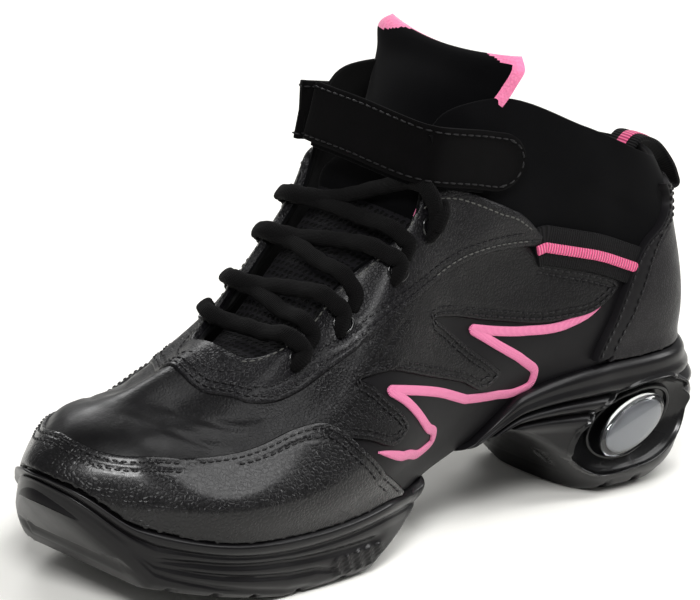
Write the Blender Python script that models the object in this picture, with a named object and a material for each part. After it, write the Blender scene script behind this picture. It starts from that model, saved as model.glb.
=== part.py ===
"""A women's mid-high dance sneaker, the left shoe, standing empty on its split sole.

Metres, +X towards the toe, +Y towards the outer side, +Z up. The origin is the flat spot under the heel.
The upper is one function, upper_place(round, up): `round` counts the ribs round the shoe, from the toe over
the outer side to the heel and back over the inner side, and `up` counts the guide lines from the sole to the
top edge. Overlays, sole rims, tongue, strap and laces take their places from that same function.
"""

import math

import bmesh
import bpy
import numpy as np
from mathutils import Matrix, Vector, geometry

# Sizes of the last
LENGTH = 0.262
BALL_WIDTH = 0.088
HEEL_LIFT = 0.0425
BALL_LIFT = 0.0115
TOE_LIFT = 0.0275
TOE_LIFT_POWER = 3.1
UPPER_HEIGHT = 0.101
# From the back of the heel to the ankle's line, from which X counts in the tables here.
HEEL_REST = 0.042
# From the ankle's line back to the middle of the heel's flat spot, where the finished shoe has its origin.
FLAT_SPOT_BACK = 0.022
# The foot leans forward on its last by this much: the tables' floor falls towards the toe, and the finished shoe
# is turned level.
PITCH = math.radians(1.85)
# How far the upper's shell lies inside the guides, which run over its overlays.
SKIN = 0.0017

# Walls and clearances
WALL = 0.0020
COLLAR_PADDING = 0.0022
CLEARANCE = 0.0004
OVERLAY_GAP = 0.0007

# Sole
TOE_BUMPER = 0.0045
TREAD_DEPTH = 0.0018
TREAD_GROOVE = 0.0030

# Air capsule in the side of the heel
WINDOW_LENGTH = 0.052
WINDOW_HEIGHT = 0.027
WINDOW_TILT = math.radians(24)
CAPSULE_LENGTH = 0.029
CAPSULE_HEIGHT = 0.0165
CAPSULE_DEPTH = 0.0075

# Tongue, insole, strap, loop and lace
TONGUE_THICKNESS = 0.0055
INSOLE_THICKNESS = 0.0035
STRAP_WIDTH = 0.0182
STRAP_THICKNESS = 0.0024
LOOP_WIDTH = 0.012
LOOP_THICKNESS = 0.0013
LACE_WIDTH = 0.0052
LACE_THICKNESS = 0.0034
HALF_BALL = BALL_WIDTH / 2
STEPS_PER_RIB = 4

# The stations along the foot, from the toe to the heel: how far the centre line swings to the outer side, the
# inner half's width, and how far the centre line leans over with height. Swing and lean are shares of the half
# ball width, and inner is a share of the outer half.
STATIONS = (
    # name, swing, inner, lean
    ("toe", 0.06, 1.00, 0.00),
    ("cap", 0.08, 1.00, 0.00),
    ("joint", 0.06, 1.01, 0.00),
    ("ball", 0.02, 0.99, -0.02),
    ("waist", 0.04, 0.94, -0.05),
    ("shank", 0.02, 0.93, -0.13),
    ("instep", 0.00, 0.96, -0.12),
    ("ankle", 0.00, 1.00, -0.05),
    ("quarter", 0.02, 1.00, 0.00),
    ("heel", 0.00, 1.00, 0.00),
)

# The guide lines round the upper, from the sole upwards, a row for each station: the place along the length,
# the half width and the rise over the footbed, as shares of LENGTH, of the half ball width and of UPPER_HEIGHT.
GUIDES = (
    # at, half, rise: the feather line, where the upper meets the sole
    (
        (0.968, 0.00, 0.000),
        (0.914, 0.52, 0.000),
        (0.813, 0.83, 0.000),
        (0.688, 0.91, 0.000),
        (0.563, 0.82, 0.000),
        (0.441, 0.62, 0.000),
        (0.313, 0.59, 0.000),
        (0.186, 0.70, 0.000),
        (0.063, 0.63, 0.000),
        (0.004, 0.00, 0.000),
    ),
    # the swell, where the side is widest
    (
        (0.966, 0.00, 0.103),
        (0.909, 0.53, 0.113),
        (0.813, 0.92, 0.151),
        (0.687, 1.05, 0.151),
        (0.561, 0.95, 0.160),
        (0.439, 0.78, 0.180),
        (0.313, 0.75, 0.190),
        (0.190, 0.76, 0.190),
        (0.060, 0.66, 0.172),
        (0.005, 0.00, 0.160),
    ),
    # the shoulder, where the side turns into the top
    (
        (0.927, 0.00, 0.246),
        (0.884, 0.43, 0.276),
        (0.793, 0.71, 0.255),
        (0.678, 0.85, 0.326),
        (0.554, 0.84, 0.435),
        (0.435, 0.74, 0.460),
        (0.313, 0.72, 0.440),
        (0.190, 0.72, 0.431),
        (0.072, 0.59, 0.414),
        (0.017, 0.00, 0.383),
    ),
    # the crown, half way from the shoulder to the edge
    (
        (0.819, 0.00, 0.418),
        (0.794, 0.26, 0.382),
        (0.735, 0.50, 0.402),
        (0.644, 0.62, 0.450),
        (0.540, 0.72, 0.624),
        (0.427, 0.71, 0.698),
        (0.317, 0.70, 0.700),
        (0.193, 0.68, 0.661),
        (0.085, 0.52, 0.575),
        (0.037, 0.00, 0.539),
    ),
    # the edge of the throat and the collar
    (
        (0.711, 0.00, 0.529),
        (0.697, 0.28, 0.512),
        (0.646, 0.40, 0.557),
        (0.586, 0.43, 0.682),
        (0.503, 0.58, 0.826),
        (0.445, 0.62, 1.083),
        (0.366, 0.63, 1.046),
        (0.232, 0.64, 0.836),
        (0.106, 0.52, 0.651),
        (0.047, 0.00, 0.622),
    ),
)
RIBS = 2 * (len(STATIONS) - 1)
HEEL_RIB = RIBS // 2
EDGE = len(GUIDES) - 1


def along(share):
    """A place along the length, from the back of the sole, as X."""
    return share * LENGTH - HEEL_REST


def smooth(value):
    """Eases from 0 to 1."""
    value = np.clip(value, 0.0, 1.0)
    return value * value * (3.0 - 2.0 * value)


def footbed(x):
    """Height of the footbed at X: high under the heel, low at the ball and lifted at the toe."""
    seat, ball, tip = along(0.08), along(0.67), along(0.98)
    back = (HEEL_LIFT - BALL_LIFT) * smooth((ball - x) / (ball - seat))
    front = (TOE_LIFT - BALL_LIFT) * np.clip((x - ball) / (tip - ball), 0.0, 1.2) ** TOE_LIFT_POWER
    return BALL_LIFT + back + front


def guide_points(guide):
    """The control points of one guide line, rib by rib round the shoe."""
    outer, inner = [], []
    for (_, swing, narrow, lean), (at, half, rise) in zip(STATIONS, guide):
        x = along(at)
        z = footbed(x) + rise * UPPER_HEIGHT
        middle = (swing + lean * rise) * HALF_BALL
        outer.append((x, middle + half * HALF_BALL, z))
        inner.append((x, middle - half * narrow * HALF_BALL, z))
    return np.array(outer + inner[-2:0:-1])


def tangents(points, closed):
    """The slope at each point of a line, per metre of chord, and the chords' lengths."""
    if closed:
        chord = np.roll(points, -1, 0) - points
    else:
        chord = np.diff(points, axis=0)
    length = np.maximum(np.linalg.norm(chord, axis=-1, keepdims=True), 1e-9)
    slope = chord / length
    if closed:
        before, reach = np.roll(slope, 1, 0), np.roll(length, 1, 0)
        return (before * length + slope * reach) / (length + reach), length
    middle = (slope[:-1] * length[1:] + slope[1:] * length[:-1]) / (length[1:] + length[:-1])
    first = 1.5 * slope[:1] - 0.5 * middle[:1]
    last = 1.5 * slope[-1:] - 0.5 * middle[-1:]
    return np.concatenate([first, middle, last]), length


def curve_at(points, where, closed=False):
    """Places on the smooth curve through points, where whole numbers are the points themselves."""
    points = np.asarray(points, float)
    where = np.asarray(where, float)
    slope, length = tangents(points, closed)
    spans = len(length)
    first = np.floor(where).astype(int)
    first = first % spans if closed else np.clip(first, 0, spans - 1)
    part = (where - np.floor(where) if closed else where - first)[..., None]
    second = (first + 1) % len(points)
    cube, square = part**3, part**2
    return (
        (2 * cube - 3 * square + 1) * points[first]
        + (cube - 2 * square + part) * length[first] * slope[first]
        + (3 * square - 2 * cube) * points[second]
        + (cube - square) * length[first] * slope[second]
    )


GUIDE_POINTS = [guide_points(guide) for guide in GUIDES]


def upper_place(around, up):
    """The outside of the upper at rib `around` and guide `up`, which may be fractions and arrays."""
    around, up = np.broadcast_arrays(np.asarray(around, float), np.asarray(up, float))
    ribs = np.stack([curve_at(points, around, closed=True) for points in GUIDE_POINTS])
    shape = around.shape
    ribs = ribs.reshape(len(GUIDES), -1, 3)
    flat = np.clip(up.reshape(-1), 0.0, EDGE)
    found = np.empty((len(flat), 3))
    chord = np.diff(ribs, axis=0)
    length = np.maximum(np.linalg.norm(chord, axis=-1, keepdims=True), 1e-9)
    slope = chord / length
    middle = (slope[:-1] * length[1:] + slope[1:] * length[:-1]) / (length[1:] + length[:-1])
    slopes = np.concatenate([1.5 * slope[:1] - 0.5 * middle[:1], middle, 1.5 * slope[-1:] - 0.5 * middle[-1:]])
    first = np.clip(np.floor(flat).astype(int), 0, EDGE - 1)
    part = (flat - first)[:, None]
    column = np.arange(len(flat))
    cube, square = part**3, part**2
    found = (
        (2 * cube - 3 * square + 1) * ribs[first, column]
        + (cube - 2 * square + part) * length[first, column] * slopes[first, column]
        + (3 * square - 2 * cube) * ribs[first + 1, column]
        + (cube - square) * length[first, column] * slopes[first + 1, column]
    )
    return found.reshape(shape + (3,))


def upper_normal(around, up):
    """The outward direction of the upper."""
    around, up = np.broadcast_arrays(np.asarray(around, float), np.asarray(up, float))
    step = 0.02
    low = np.clip(up - step, 0, EDGE)
    high = np.clip(up + step, 0, EDGE)
    across = upper_place(around + step, up) - upper_place(around - step, up)
    upward = upper_place(around, high) - upper_place(around, low)
    normal = np.cross(across, upward)
    return normal / np.maximum(np.linalg.norm(normal, axis=-1, keepdims=True), 1e-12)


def under_overlays(around, up):
    """How far the shell lies inside the guides: not at all in the collar and at the feather line."""
    from_heel = np.abs(np.asarray(around, float) % RIBS - HEEL_RIB)
    collar = smooth((4.3 - from_heel) / 0.8) * smooth((np.asarray(up, float) - 2.4) / 0.6)
    return SKIN * (1.0 - collar) * smooth(np.asarray(up, float) / 0.6)


def upper_offset(around, up, out):
    """A place `out` metres outside the upper's shell, or inside it where `out` is negative."""
    out = np.asarray(out, float) - under_overlays(around, up)
    return upper_place(around, up) + out[..., None] * upper_normal(around, up)


def padding(around, up):
    """The wall's thickness: the leather's, with the foam that fills the collar."""
    from_heel = np.abs(np.asarray(around, float) % RIBS - HEEL_RIB)
    collar = smooth((3.6 - from_heel) / 0.8)
    high = smooth((np.asarray(up, float) - 2.3) / 1.2)
    lip = 1.0 - 0.55 * smooth((np.asarray(up, float) - 3.7) / 0.3)
    return (WALL + COLLAR_PADDING * collar * high) * lip


def material(name, colour, roughness, metallic=0.0, transmission=0.0):
    """A Principled material."""
    made = bpy.data.materials.new(name)
    made.use_nodes = True
    shader = made.node_tree.nodes["Principled BSDF"]
    shader.inputs["Base Color"].default_value = (*colour, 1.0)
    shader.inputs["Roughness"].default_value = roughness
    shader.inputs["Metallic"].default_value = metallic
    shader.inputs["Transmission Weight"].default_value = transmission
    made.diffuse_color = (*colour, 1.0)
    return made


def add_object(name, points, faces, finish):
    """An object from points and faces, with its doubles merged and its faces turned outwards."""
    mesh = bpy.data.meshes.new(name)
    mesh.from_pydata([tuple(map(float, p)) for p in points], [], faces)
    shape = bmesh.new()
    shape.from_mesh(mesh)
    bmesh.ops.remove_doubles(shape, verts=shape.verts, dist=1e-6)
    bmesh.ops.recalc_face_normals(shape, faces=shape.faces)
    if shape.calc_volume(signed=True) < 0:
        bmesh.ops.reverse_faces(shape, faces=shape.faces)
    shape.to_mesh(mesh)
    shape.free()
    mesh.materials.append(finish)
    mesh.shade_smooth()
    mesh.set_sharp_from_angle(angle=math.radians(40))
    made = bpy.data.objects.new(name, mesh)
    bpy.context.scene.collection.objects.link(made)
    return made


def boolean(target, other, operation):
    """Joins, cuts or keeps what both share, and removes the tool."""
    tool = target.modifiers.new(operation.lower(), "BOOLEAN")
    tool.operation = operation
    tool.object = other
    tool.solver = "EXACT"
    bpy.context.view_layer.update()
    graph = bpy.context.evaluated_depsgraph_get()
    mesh = bpy.data.meshes.new_from_object(target.evaluated_get(graph))
    target.modifiers.clear()
    old = target.data
    target.data = mesh
    bpy.data.meshes.remove(old)
    bpy.data.objects.remove(other)
    mesh.shade_smooth()
    mesh.set_sharp_from_angle(angle=math.radians(40))


def grid_faces(rows, columns, wrap=False, start=0):
    """Quads between neighbours of a grid stored row by row."""
    faces = []
    for i in range(rows if wrap else rows - 1):
        for j in range(columns - 1):
            a = start + i * columns + j
            b = start + (i + 1) % rows * columns + j
            faces.append((a, b, b + 1, a + 1))
    return faces


def ring_solid(name, rings, finish):
    """A closed body through rings of equal counts, capped by a ladder from side to side at both ends."""
    count = len(rings[0])
    faces = grid_faces_closed(len(rings), count)
    for start, turned in ((0, True), ((len(rings) - 1) * count, False)):
        for face in ladder(count):
            face = tuple(start + k for k in face)
            faces.append(tuple(reversed(face)) if turned else face)
    return add_object(name, np.concatenate(rings), faces, finish)


def grid_faces_closed(rows, count):
    """Quads between closed rings."""
    faces = []
    for i in range(rows - 1):
        for j in range(count):
            k = (j + 1) % count
            faces.append((i * count + j, i * count + k, (i + 1) * count + k, (i + 1) * count + j))
    return faces


def ladder(count):
    """Faces across a ring whose point k lies opposite point count - k."""
    half = count // 2
    faces = [(0, 1, count - 1)]
    faces += [(k, k + 1, count - k - 1, count - k) for k in range(1, half - 1)]
    faces.append((half - 1, half, half + 1))
    return faces


# The upper

# Where the rows of the upper's mesh lie, in guides
UPPER_ROWS = (0.0, 0.4, 0.85, 1.3, 1.8, 2.3, 2.75, 3.2, 3.6, 3.86, 4.0)
ARCH_FROM = 4.5
ARCH_TO = 5.5


def build_upper(finish):
    """The hollow upper: an outer and an inner skin, closed under the arch between the two soles."""
    columns = RIBS * STEPS_PER_RIB
    around = np.arange(columns) / STEPS_PER_RIB
    up = np.array(UPPER_ROWS)
    rounds, ups = np.meshgrid(around, up, indexing="ij")
    outer = upper_offset(rounds, ups, 0.0)
    inner = upper_offset(rounds, ups, -padding(rounds, ups))
    inner[:, 0] = outer[:, 0] - WALL * feather_outward(around)
    inner[:, 0, 2] = outer[:, 0, 2] + WALL
    rows = len(up)
    count = columns * rows
    faces = grid_faces(columns, rows, wrap=True)
    faces += [tuple(reversed(face)) for face in grid_faces(columns, rows, wrap=True, start=count)]
    low = round(ARCH_FROM * STEPS_PER_RIB)
    high = round(ARCH_TO * STEPS_PER_RIB)
    for i in range(columns):
        k = (i + 1) % columns
        top, next_top = i * rows + rows - 1, k * rows + rows - 1
        faces.append((top, next_top, next_top + count, top + count))
        if not (low <= i < high or columns - high <= i < columns - low):
            faces.append((k * rows, i * rows, i * rows + count, k * rows + count))
    for i in range(low, high):
        a, b = i * rows, (i + 1) * rows
        c, d = (columns - i - 1) * rows, (columns - i) * rows
        faces.append((b, a, d, c))
        faces.append((a + count, b + count, c + count, d + count))
    for i, turned in ((low, False), (high, True)):
        a, b = i * rows, (columns - i) * rows
        face = (a, b, b + count, a + count)
        faces.append(tuple(reversed(face)) if turned else face)
    points = np.concatenate([outer.reshape(-1, 3), inner.reshape(-1, 3)])
    return add_object("upper", points, faces, finish)


# The two soles

# The walls of the two soles, from the tread upwards: the share of the height, how far the wall stands out past
# the feather line, and how much further it stands out at the very end of the shoe.
FORE_WALL = (
    # height, grow, end
    (0.00, -0.0030, -0.0040),
    (0.07, 0.0004, -0.0032),
    (0.22, 0.0020, -0.0028),
    (0.44, 0.0020, -0.0026),
    (0.49, 0.0018, -0.0024),
    (0.52, 0.0008, -0.0024),
    (0.58, 0.0008, -0.0022),
    (0.61, 0.0020, -0.0020),
    (0.88, 0.0024, -0.0018),
    (1.00, 0.0016, -0.0018),
)
HEEL_WALL = (
    # height, grow, end
    (0.00, -0.0100, 0.0040),
    (0.03, -0.0070, 0.0044),
    (0.12, -0.0024, 0.0066),
    (0.30, 0.0006, 0.0082),
    (0.52, 0.0020, 0.0080),
    (0.70, 0.0020, 0.0066),
    (0.73, 0.0008, 0.0060),
    (0.76, 0.0008, 0.0052),
    (0.79, 0.0020, 0.0038),
    (0.90, 0.0024, 0.0020),
    (1.00, 0.0016, 0.0008),
)

# The cut end of each sole: where along the foot its edge is at the tread and at the rim, and how square the end is.
FORE_CUT_LOW, FORE_CUT_HIGH = 0.144, 0.118
HEEL_CUT_LOW, HEEL_CUT_HIGH = 0.046, 0.110
CUT_CORNER = 0.009
CUT_POWER = 2.0 / 2.6
# The front sole's tread: where it leaves the floor, how fast it rises in a rocker, and its last steep rise.
ROCKER_FROM, ROCKER_SLOPE, ROCKER_POWER = 0.186, 0.27, 1.1
TOE_TREAD_FROM, TOE_TREAD_SLOPE = 0.232, 0.92
HEEL_TREAD_SLOPE = 0.42
HEEL_TREAD_FROM = 0.050
HEEL_TREAD_ROUND = 0.008
HEEL_FLAT_TO = 0.030
RIM_FORE = 0.0042
RIM_HEEL_BACK = 0.0045
RIM_HEEL_FRONT = 0.0075
RIM_FADE = 0.020
RIM_TOP = 0.0008
SOLE_LEAST = 0.0015


def feather(around):
    return upper_place(around, 0.0)


def feather_outward(around):
    """The direction out of the foot's outline, level with the floor."""
    around = np.asarray(around, float)
    ahead = feather(around + 0.03) - feather(around - 0.03)
    flat = np.stack([ahead[..., 1], -ahead[..., 0]], -1)
    flat = flat / np.maximum(np.linalg.norm(flat, axis=-1, keepdims=True), 1e-12)
    return np.concatenate([flat, np.zeros(flat.shape[:-1] + (1,))], -1)


def rib_at(x):
    """The rib of the outer side where the feather line is at X; RIBS less it is its opposite."""
    ribs = np.linspace(0.0, HEEL_RIB, 600)
    return float(np.interp(-x, -feather(ribs)[:, 0], ribs))


def underside(x):
    """Height of the upper's underside at X."""
    ribs = np.linspace(0.0, HEEL_RIB, 400)
    outer, inner = feather(ribs), feather((RIBS - ribs) % RIBS)
    levels = [np.interp(-x, -line[:, 0], line[:, 2]) for line in (outer, inner)]
    return np.minimum(levels[0], levels[1])


def level_at(around, height):
    """How far up the guides the upper's surface is `height` over its feather line."""
    levels = np.linspace(0.0, 2.0, 81)
    rises = upper_place(np.asarray(around)[:, None], levels[None, :])[..., 2]
    rises = np.maximum.accumulate(rises - rises[:, :1], axis=1)
    return np.array([np.interp(h, rise, levels) for h, rise in zip(height, rises)])


def floor_at(x):
    """Height of the floor, which falls towards the toe in the tables' frame."""
    return -math.tan(PITCH) * (x - HEEL_REST + FLAT_SPOT_BACK)


def fore_tread(x):
    """Height of the underside of the front sole at X from the back of the heel."""
    ahead = np.clip(x - ROCKER_FROM, 0.0, 0.1)
    toe = np.clip(x - TOE_TREAD_FROM, 0.0, 0.1)
    return floor_at(x) + ROCKER_SLOPE * ahead**ROCKER_POWER + TOE_TREAD_SLOPE * toe


def heel_tread(x):
    """Height of the underside of the heel's sole at X from the back of the heel."""
    ahead = x - HEEL_TREAD_FROM
    soft = 0.5 * (ahead + np.hypot(ahead, HEEL_TREAD_ROUND))
    level = 0.5 * (math.hypot(HEEL_TREAD_FROM - HEEL_FLAT_TO, HEEL_TREAD_ROUND) - HEEL_TREAD_FROM + HEEL_FLAT_TO)
    return floor_at(x) + HEEL_TREAD_SLOPE * np.maximum(soft - level, 0.0)


def fore_rim(x):
    """Height of the front sole's rim over the feather line, with the bumper in front of the toes."""
    return RIM_FORE * smooth((x - FORE_CUT_HIGH - CUT_CORNER) / RIM_FADE) + TOE_BUMPER * smooth((x - 0.236) / 0.014)


def heel_rim(x):
    """Height of the heel sole's rim over the feather line."""
    rise = RIM_HEEL_BACK + (RIM_HEEL_FRONT - RIM_HEEL_BACK) * smooth((x - 0.030) / 0.050)
    return rise * smooth((HEEL_CUT_HIGH - CUT_CORNER - x) / RIM_FADE)


def sole_ring(natural, cut, grow, side_steps, end_steps):
    """One level ring of a sole round its natural end and its cut end, without heights.

    Returns the points, the rib each belongs to, and a flag that is 1 on the cut end.
    """
    turn = 1.0 if natural == 0 else -1.0
    last = rib_at(along(0.0) + cut + turn * CUT_CORNER)
    ribs = natural + (last - natural) * np.linspace(0.0, 1.0, side_steps)
    angle = np.linspace(0.0, math.pi / 2, end_steps + 1)[1:]
    middle = 0.5 * (feather(last) + feather(RIBS - last))
    halves = []
    for side in (ribs, (RIBS - ribs) % RIBS):
        line = feather(side) + grow * feather_outward(side)
        corner = line[-1]
        reach = along(0.0) + cut - corner[0]
        x = corner[0] + reach * np.sin(angle) ** CUT_POWER
        y = middle[1] + (corner[1] - middle[1]) * np.cos(angle) ** CUT_POWER
        end = np.stack([x, y, np.zeros_like(x)], 1)
        halves.append(np.concatenate([line, end]))
    if natural == 0:
        first = feather(0.0) + grow * feather_outward(0.0)
    else:
        first = feather(float(HEEL_RIB)) + grow * feather_outward(float(HEEL_RIB))
    halves[0][0] = halves[1][0] = first
    tip = 0.5 * (halves[0][-1] + halves[1][-1])
    halves[0][-1] = halves[1][-1] = tip
    points = np.concatenate([halves[0], halves[1][-2:0:-1]])
    own = np.concatenate([ribs, np.full(end_steps, last)])
    other = (RIBS - own) % RIBS
    rib = np.concatenate([own, other[-2:0:-1]])
    on_end = np.concatenate([np.zeros(side_steps), np.ones(end_steps)])
    on_end = np.concatenate([on_end, on_end[-2:0:-1]])
    return points, rib, on_end


def bulge_of(ribs, rim, x):
    """How far the upper stands out past its feather line at the height of the rim."""
    level = level_at(ribs, rim(x - along(0.0)))
    return np.maximum(np.sum((upper_place(ribs, level) - feather(ribs)) * feather_outward(ribs), axis=-1), 0.0)


def build_sole(name, natural, cuts, wall, tread, rim, steps, finish):
    """A sole: the wall's rings, the rim's top, the inside of the rim and the cup's floor."""
    side_steps, end_steps = steps
    low_cut, high_cut = cuts
    rings = []
    for height, grow, end in wall:
        cut = low_cut + (high_cut - low_cut) * smooth(height) ** 0.9
        points, rib, on_end = sole_ring(natural, cut, grow, side_steps, end_steps)
        near_end = np.minimum(np.abs(rib - natural), np.abs(RIBS - rib - natural))
        near_end = np.minimum(near_end, RIBS - near_end)
        push = end * (1.0 - smooth(near_end / 1.6))
        push = push + bulge_of(rib, rim, points[:, 0]) * smooth((height - 0.25) / 0.6) * (on_end < 1)
        points = points + push[:, None] * feather_outward(rib)
        x = points[:, 0] - along(0.0)
        top = underside(points[:, 0]) - CLEARANCE * np.where(rim(x) > CLEARANCE, 0.0, 1.0) + rim(x)
        low = np.minimum(tread(x), top - SOLE_LEAST)
        points[:, 2] = low + (top - low) * height
        rings.append(points)
    points, rib, on_end = sole_ring(natural, high_cut, 0.0, side_steps, end_steps)
    x = points[:, 0] - along(0.0)
    side = on_end < 1
    height = rim(x) + RIM_TOP * (rim(x) > RIM_TOP)
    lip = points.copy()
    lip[side] = upper_offset(rib[side], level_at(rib[side], height[side]), CLEARANCE)
    lip[:, 2] = underside(lip[:, 0]) + height
    flush = ~side | (height < CLEARANCE)
    lip[flush, 2] = underside(points[flush, 0]) - CLEARANCE
    rings.append(lip)
    foot = points.copy()
    foot[side] = feather(rib[side]) + (CLEARANCE + 0.0002) * feather_outward(rib[side])
    centre = np.array([foot[:, 0].mean(), foot[:, 1].mean()])
    foot[~side, :2] = centre + (foot[~side, :2] - centre) * 0.97
    foot[:, 2] = underside(foot[:, 0]) - CLEARANCE
    rings.append(foot)
    return ring_solid(name, rings, finish)


def build_insole(finish):
    """The insole, on the soles' cups and on the upper's own floor under the arch."""
    around = np.arange(RIBS * STEPS_PER_RIB) / STEPS_PER_RIB
    x = feather(around)[:, 0]
    front, back = feather(ARCH_FROM)[0], feather(ARCH_TO)[0]
    over_arch = smooth((front + 0.012 - x) / 0.010) * smooth((x - back + 0.012) / 0.010)
    lift = (WALL + CLEARANCE) * over_arch + 0.0003
    rings = []
    for height, inset in ((0.0, 0.0022), (INSOLE_THICKNESS - 0.0008, 0.0020), (INSOLE_THICKNESS, 0.0030)):
        level = level_at(around, lift + height)
        points = upper_offset(around, level, -(WALL + inset))
        points[:, 2] = underside(points[:, 0]) + lift + height
        rings.append(points)
    return ring_solid("insole", rings, finish)


# The tongue

TONGUE_FROM = 1.0
TONGUE_TO = 4.25
# Rows of the tongue over the throat: its middle's place, half its width, and how far its sides wrap back and rise.
TONGUE_HEAD = (
    # x, y, z, half, wrap, rise
    (0.0790, -0.0025, 0.1180, 0.0205, 0.0095, 0.0000),
    (0.0700, -0.0050, 0.1280, 0.0212, 0.0105, 0.0000),
    (0.0630, -0.0055, 0.1350, 0.0221, 0.0095, 0.0005),
    (0.0575, -0.0055, 0.1395, 0.0272, 0.0070, 0.0020),
    (0.0545, -0.0052, 0.1425, 0.0318, 0.0045, 0.0046),
    (0.0520, -0.0060, 0.1448, 0.0300, 0.0035, 0.0060),
)
TONGUE_NORMAL = np.array([0.73, 0.0, 0.68])
TONGUE_COLUMNS = 9
# How far the tongue lies inside the throat's edges and under them.
TONGUE_INSET = 0.0027
TONGUE_DEPTH = 0.0028
TONGUE_CROWN = 0.0015
WRAP_POWER = 2.2
# The edge of the throat, in guides, which the tongue lies under.
THROAT_EDGE = 3.95


def tongue_section(rib, across):
    """Points across the tongue's top at a rib, between the two edges of the throat and under them."""
    outer, inner = (upper_offset(r, THROAT_EDGE, 0.0) for r in (rib, RIBS - rib))
    inwards = (inner - outer) / np.linalg.norm(inner - outer)
    outer = outer + inwards * TONGUE_INSET - TONGUE_NORMAL * TONGUE_DEPTH
    inner = inner - inwards * TONGUE_INSET - TONGUE_NORMAL * TONGUE_DEPTH
    crown = 0.5 * (outer + inner) + TONGUE_NORMAL * TONGUE_CROWN
    return curve_at(np.array([outer, crown, inner]), across * 2)


def tongue_rows():
    """The tongue's top, row by row from the toe's end to its head."""
    across = np.linspace(0.0, 1.0, TONGUE_COLUMNS)
    ribs = np.arange(TONGUE_FROM, TONGUE_TO + 0.5 / STEPS_PER_RIB, 1.0 / STEPS_PER_RIB)
    rows = [tongue_section(rib, across) for rib in ribs]
    side = 1.0 - 2.0 * across
    for x, y, z, half, wrap, rise in TONGUE_HEAD:
        row = np.array([x, y, z]) - TONGUE_NORMAL * (wrap * np.abs(side) ** WRAP_POWER)[:, None]
        row[:, 1] += half * side
        row[:, 2] += rise * side**2
        rows.append(row)
    return np.array(rows)


def skin_solid(name, rows, thick, finish):
    """A sheet's solid: its top, and a skin `thick` under it."""
    normal = np.cross(np.gradient(rows, axis=0), np.gradient(rows, axis=1))
    normal = normal / np.maximum(np.linalg.norm(normal, axis=-1, keepdims=True), 1e-12)
    if normal[..., 2].mean() < 0:
        normal = -normal
    under = rows - normal * thick[..., None]
    n, m = rows.shape[:2]
    count = n * m
    faces = grid_faces(n, m)
    faces += [tuple(reversed(face)) for face in grid_faces(n, m, start=count)]
    faces += rim_faces(n, m)
    return add_object(name, np.concatenate([rows.reshape(-1, 3), under.reshape(-1, 3)]), faces, finish)


def build_tongue(finish):
    rows = tongue_rows()
    edge = np.ones(rows.shape[:2])
    edge[:, (0, -1)] = 0.35
    edge[:, (1, -2)] = 0.8
    edge[-1, :] = 0.35
    fill = 0.45 + 0.55 * smooth(np.linspace(0, 1, len(rows)) * 1.6)
    return skin_solid("tongue", rows, TONGUE_THICKNESS * edge * fill[:, None], finish)


# Overlays of the upper

# Each row: the rib, and how far up the guides the piece's lower and upper edges run there. A piece made from
# such rows covers both sides, round the toe.
GUARD_ROWS = (
    # rib, low, high
    (0.0, 0.98, 1.92),
    (0.5, 0.96, 1.80),
    (0.9, 0.92, 1.76),
    (1.4, 0.70, 1.95),
    (1.9, 0.54, 2.13),
    (2.4, 0.52, 2.20),
    (2.8, 0.50, 2.22),
    (3.08, 0.50, 2.12),
    (3.3, 0.48, 1.86),
    (3.54, 0.46, 1.48),
    (3.84, 0.44, 1.05),
    (4.10, 0.42, 0.62),
)
EYESTAY_ROWS = (
    # rib, low, high
    (0.0, 3.42, 3.95),
    (0.64, 3.35, 3.95),
    (1.46, 3.20, 3.95),
    (2.18, 2.97, 3.95),
    (2.60, 2.88, 3.95),
    (3.16, 2.92, 3.95),
    (3.56, 2.85, 3.95),
    (4.00, 2.79, 3.95),
    (4.46, 2.74, 3.72),
    (4.80, 2.70, 3.50),
    (5.32, 2.64, 3.22),
    (5.78, 2.51, 2.94),
    (6.12, 2.36, 2.50),
)
# The gap between the guard or the eyestay and the quarter, in guides.
SEAM = 0.05
# The quarter's upper edge behind the eyestay's leaf, and its rear edge.
QUARTER_TOP = (
    # rib, high
    (6.12, 2.14),
    (6.60, 1.86),
    (7.05, 1.58),
)
# The zigzag of the quarter's lower edge, from the rear to the guard.
ZIGZAG = (
    # rib, up
    (7.05, 1.36),
    (6.85, 1.24),
    (6.36, 1.33),
    (5.60, 1.70),
    (4.72, 2.20),
    (5.20, 1.62),
    (5.64, 1.15),
    (5.56, 0.96),
    (5.10, 1.28),
    (4.58, 1.64),
    (3.62, 2.26),
    (3.94, 1.78),
    (4.22, 1.40),
    (4.12, 1.22),
    (3.62, 1.50),
)
COUNTER_FRONT = (
    # up, rib
    (0.50, 7.10),
    (0.90, 7.20),
    (1.35, 7.38),
    (1.88, 7.62),
    (2.20, 7.92),
    (2.55, 8.12),
    (2.83, 7.95),
    (2.95, 8.20),
)
TAPE_ROWS = (
    # rib, low, high
    (6.20, 2.20, 2.54),
    (6.70, 1.93, 2.26),
    (7.34, 1.52, 1.90),
)
GUARD_THICKNESS = 0.0013
GUARD_GAP = 0.0011
COUNTER_GAP = 0.0009
EYESTAY_THICKNESS = 0.0014
COUNTER_THICKNESS = 0.0013
TAPE_THICKNESS = 0.0010
QUARTER_THICKNESS = 0.0009


def rim_faces(rows, columns):
    """The side faces between a grid and its under skin, which is stored after it."""
    count = rows * columns
    loop = list(range(columns)) + [i * columns + columns - 1 for i in range(1, rows)]
    loop += [(rows - 1) * columns + j for j in range(columns - 2, -1, -1)]
    loop += [i * columns for i in range(rows - 2, 0, -1)]
    return [(a, b, b + count, a + count) for a, b in zip(loop, loop[1:] + loop[:1])]


def column(rows, index):
    return np.array([row[index] for row in rows])


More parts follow.
